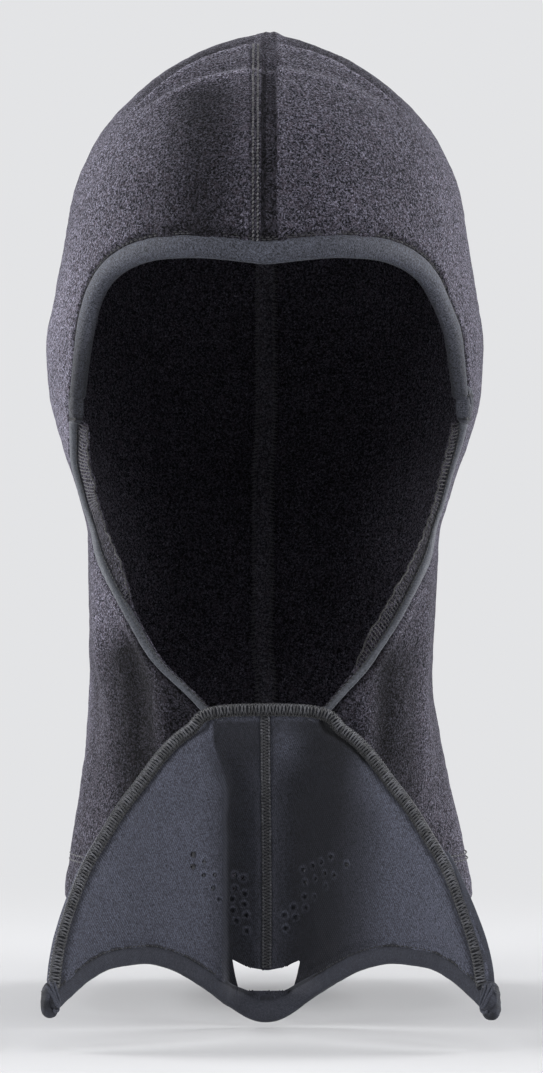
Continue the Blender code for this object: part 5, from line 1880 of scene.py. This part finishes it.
def tip_pocket(name, side):
    """A curled pocket at the wing tip with two cords over it and two bar tacks."""
    size, shift, base_shade, spread = TIP_POCKET[side]
    centre = TIP + shift

    def curl(u, v):
        radius = np.sqrt(u ** 2 + (v * 1.3) ** 2)
        spiral = np.sin(radius * 2.0 - np.arctan2(v * 1.3, u) * side + 0.5)
        ring = smooth(radius / 0.9) * (1 - above(radius, 4.6, 1.2))
        return -0.62 * np.clip(spiral, 0, 1) ** 3 * ring

    down = (0.05, -0.12, -1.0)
    axes = pocket_axes(down, np.cross(mask_normal(np.array(72.0), np.array(24.0)), down))
    u_axis, v_axis, out = axes
    bumps = ((-1.5, 0.6, 2.4, 0.4), (3.0, -0.8, 2.0, 0.3))
    points, faces, _ = pillow(centre, axes, size, bumps, side, curl)
    points = roughen(points, (0.16, 1.9, 31), (0.15, 4.0, 32))
    meshes = [(points, faces)]
    shades = [np.clip(base_shade + 0.45 * lumps(points, 1.5, 33), 0.2, 1.2)]
    cord_angle = np.linspace(0, 2 * math.pi, 10, endpoint=False)
    # painted highlight on the side of each cord facing out of the pocket and painted shade on its
    # underside
    cord_shade = np.tile(np.where(np.cos(cord_angle) > 0.1, 1.35, 0.35), 60)
    for path, radius in TIP_CORDS:
        path = resample(path, 60)
        fall = ((np.abs(path) / (np.array(size[:2]) / 2)) ** 3).sum(-1)
        height = size[2] / 2 * np.sqrt(np.clip(1 - fall, 0.02, 1)) + 0.05
        line = centre + u_axis * path[:, :1] + v_axis * path[:, 1:] * spread
        line = line + out * height[:, None]
        meshes.append(pipe(line * [side, 1, 1], out * [side, 1, 1], radius, 10))
        shades.append(cord_shade)
    points, faces = join(*meshes)
    build("tip_pocket_" + name, (points, faces), HEM_KNIT, "mask",
          "tip_magnet_pocket_" + name, uv=points[:, [2, 0]], shade=np.concatenate(shades),
          orient=False, sharp=SOFT_EDGE)
    near = centre - u_axis * 4.6 + out * 1.75
    far = centre - u_axis * 2.6 - out * 2.6
    mesh = join(
        bar_tack(near, axes, length=3.4, width=1.4, count=13, side=side, radius=0.24),
        bar_tack(far, (u_axis, v_axis, -out), length=3.8, width=1.1, count=13, side=side,
                 radius=0.22),
    )
    build("tip_bartack_threads_" + name, mesh, COVER_THREAD, "mask",
          "tip_bar_tack_" + name)


for pocket in (temple_pocket, tip_pocket):
    for name, side in SIDES.items():
        pocket(name, side)


# ------------------------------------------------------------------ magnets
def magnet(place, name, body, scale, shift):
    """The CAD's disc, scaled about its middle and moved."""
    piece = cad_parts[f"{place}_magnet_{name}"]
    points = np.array([list(piece.matrix_world @ vertex.co) for vertex in piece.data.vertices])
    points = points * 1000 - CAD_SHIFT
    middle = points.mean(0)
    points = middle + (points - middle) * scale + shift
    faces = [list(polygon.vertices) for polygon in piece.data.polygons]
    build(f"{place}_magnet_disc_{name}", (points, faces), NICKEL, body,
          f"{place}_magnet_{name}", orient=False)


for name, side in SIDES.items():
    magnet("temple", name, "hood", 0.70, [side * (TEMPLE[side][-1] + 0.6) - 0.02, 0, 0])
for name in SIDES:
    magnet("tip", name, "mask", 1, [WING_LEAN, 0, 0.4])


# ------------------------------------------------------------------ care label
def care_label():
    """A blank tape inside the nape, curling away from the fleece at its lower end."""
    v, x = np.meshgrid(np.linspace(0.085, 0.155, 30), np.linspace(-10.4, 10.4, 24),
                       indexing="ij")
    phi = math.pi - phi_of_x(np.abs(x) + 0.01, v)
    points, normals = hood(phi, v), hood_normal(phi, v)
    points[..., 0] = x
    normals[..., 0] *= np.sign(x)
    depth = FLEECE + 1.4 * below(v, 0.118, 0.033) + 0.25 * np.sin(x / 2.6)
    verts, faces, used = masked_slab(
        points - normals * (depth + 3.9)[..., None], points - normals * (depth + 3.4)[..., None])
    material = knit_material(
        "blank_label_tape", colour=(0.42, 0.42, 0.41), pitch=0.5, contrast=0.2, sheen=0.1,
        bump=0.00008, rough=0.6, speckle=0.9)
    uv = np.stack([x.ravel(), (v * HOOD_LENGTH).ravel()], -1)
    build("blank_care_label", (verts, faces), material, "hood", "care_label",
          uv=np.concatenate([uv, uv])[used])


care_label()

# ------------------------------------------------------------------ stage, metres from here on
FLOOR_HALF, FLOOR_GAP = 30.0, 0.0024         # the floor lies this far below the CAD pieces
BACKDROP = (0.77, 0.775, 0.79, 1)


def floor_material():
    """Pale floor that fades into the backdrop for the camera and is clear from below."""
    material, g = new_material("pale_floor")
    patches = g.noise(g.coords(), scale=3.0, detail=3.0)
    camera_ray = g.node("ShaderNodeLightPath").outputs["Is Camera Ray"]
    seen = g.ramp(patches, (0.3, (0.475, 0.477, 0.487)), (0.7, (0.490, 0.492, 0.502)))
    surface = g.surface(
        Base_Color=g.mix(camera_ray, (0.60, 0.60, 0.61, 1), seen),
        Roughness=0.95,
        Specular_IOR_Level=0.1,
    )
    backdrop = g.node("ShaderNodeEmission", {0: BACKDROP}).outputs[0]
    geometry = g.node("ShaderNodeNewGeometry").outputs
    distance = g.node("ShaderNodeVectorMath", {0: geometry["Position"]}, operation="LENGTH")
    fade = g.node("ShaderNodeMapRange", {
        "From Min": 0.10, "From Max": 0.62, "Value": distance.outputs["Value"],
    }, interpolation_type="SMOOTHSTEP").outputs[0]
    top = g.node("ShaderNodeMixShader", {0: g.mul(fade, camera_ray), 1: surface, 2: backdrop})
    clear = g.node("ShaderNodeBsdfTransparent").outputs[0]
    both = g.node("ShaderNodeMixShader",
                  {0: geometry["Backfacing"], 1: top.outputs[0], 2: clear})
    g.feed(g.tree.nodes["Material Output"], {"Surface": both.outputs[0]})
    return material


def floor():
    data = bpy.data.meshes.new("floor")
    half = FLOOR_HALF
    corners = [(-half, -half, 0), (half, -half, 0), (half, half, 0), (-half, half, 0)]
    data.from_pydata(corners, [], [(0, 1, 2, 3)])
    plane = bpy.data.objects.new("floor", data)
    plane.location.z = CAD_LO.z - FLOOR_GAP
    bpy.context.scene.collection.objects.link(plane)
    data.materials.append(floor_material())


def studio_world():
    world = bpy.data.worlds.new("studio")
    world.use_nodes = True
    g = Graph(world.node_tree)
    camera_ray = g.node("ShaderNodeLightPath").outputs["Is Camera Ray"]
    colour = g.mix(camera_ray, (0.285, 0.288, 0.30, 1), BACKDROP)
    g.feed(world.node_tree.nodes["Background"], {0: colour, 1: 1.0})
    scene = bpy.context.scene
    scene.world = world
    scene.view_settings.view_transform = "Standard"
    scene.view_settings.look = "None"


# Area lights aimed at the middle of the product: name, location, size, watts
LIGHTS = (
    ("key", (-1.55, -1.25, 0.85), (0.9, 1.4), 31),
    ("fill", (1.60, -1.15, 0.75), (0.9, 1.4), 29),
    ("rim_left", (-1.25, 0.40, 0.45), (0.5, 1.4), 34),
    ("rim_right", (1.25, 0.40, 0.45), (0.5, 1.4), 30),
    ("top", (0.0, -0.2, 1.8), (1.2, 1.0), 9),
)


def area_light(name, location, size, watts):
    data = bpy.data.lights.new(name, "AREA")
    data.shape = "RECTANGLE"
    data.size, data.size_y = size
    data.energy = watts
    lamp = bpy.data.objects.new(name, data)
    bpy.context.scene.collection.objects.link(lamp)
    lamp.location = location
    lamp.rotation_mode = "QUATERNION"
    aim = (CAD_LO + CAD_HI) / 2 - Vector(location)
    lamp.rotation_quaternion = aim.to_track_quat("-Z", "Y")


def front_camera():
    """A long lens in front of the face, looking level along +Y."""
    data = bpy.data.cameras.new("camera")
    data.lens, data.sensor_width = 157.7, 36.0
    data.shift_x, data.shift_y = 0.0051, -0.0573
    data.clip_start, data.clip_end = 0.05, 60
    camera = bpy.data.objects.new("camera", data)
    camera.location = (0.0, (-1800.0 + CAD_SHIFT[1]) * 0.001, 0.200)
    camera.rotation_euler = (math.pi / 2, 0, 0)
    bpy.context.scene.collection.objects.link(camera)
    bpy.context.scene.camera = camera


floor()
studio_world()
for entry in LIGHTS:
    area_light(*entry)
front_camera()
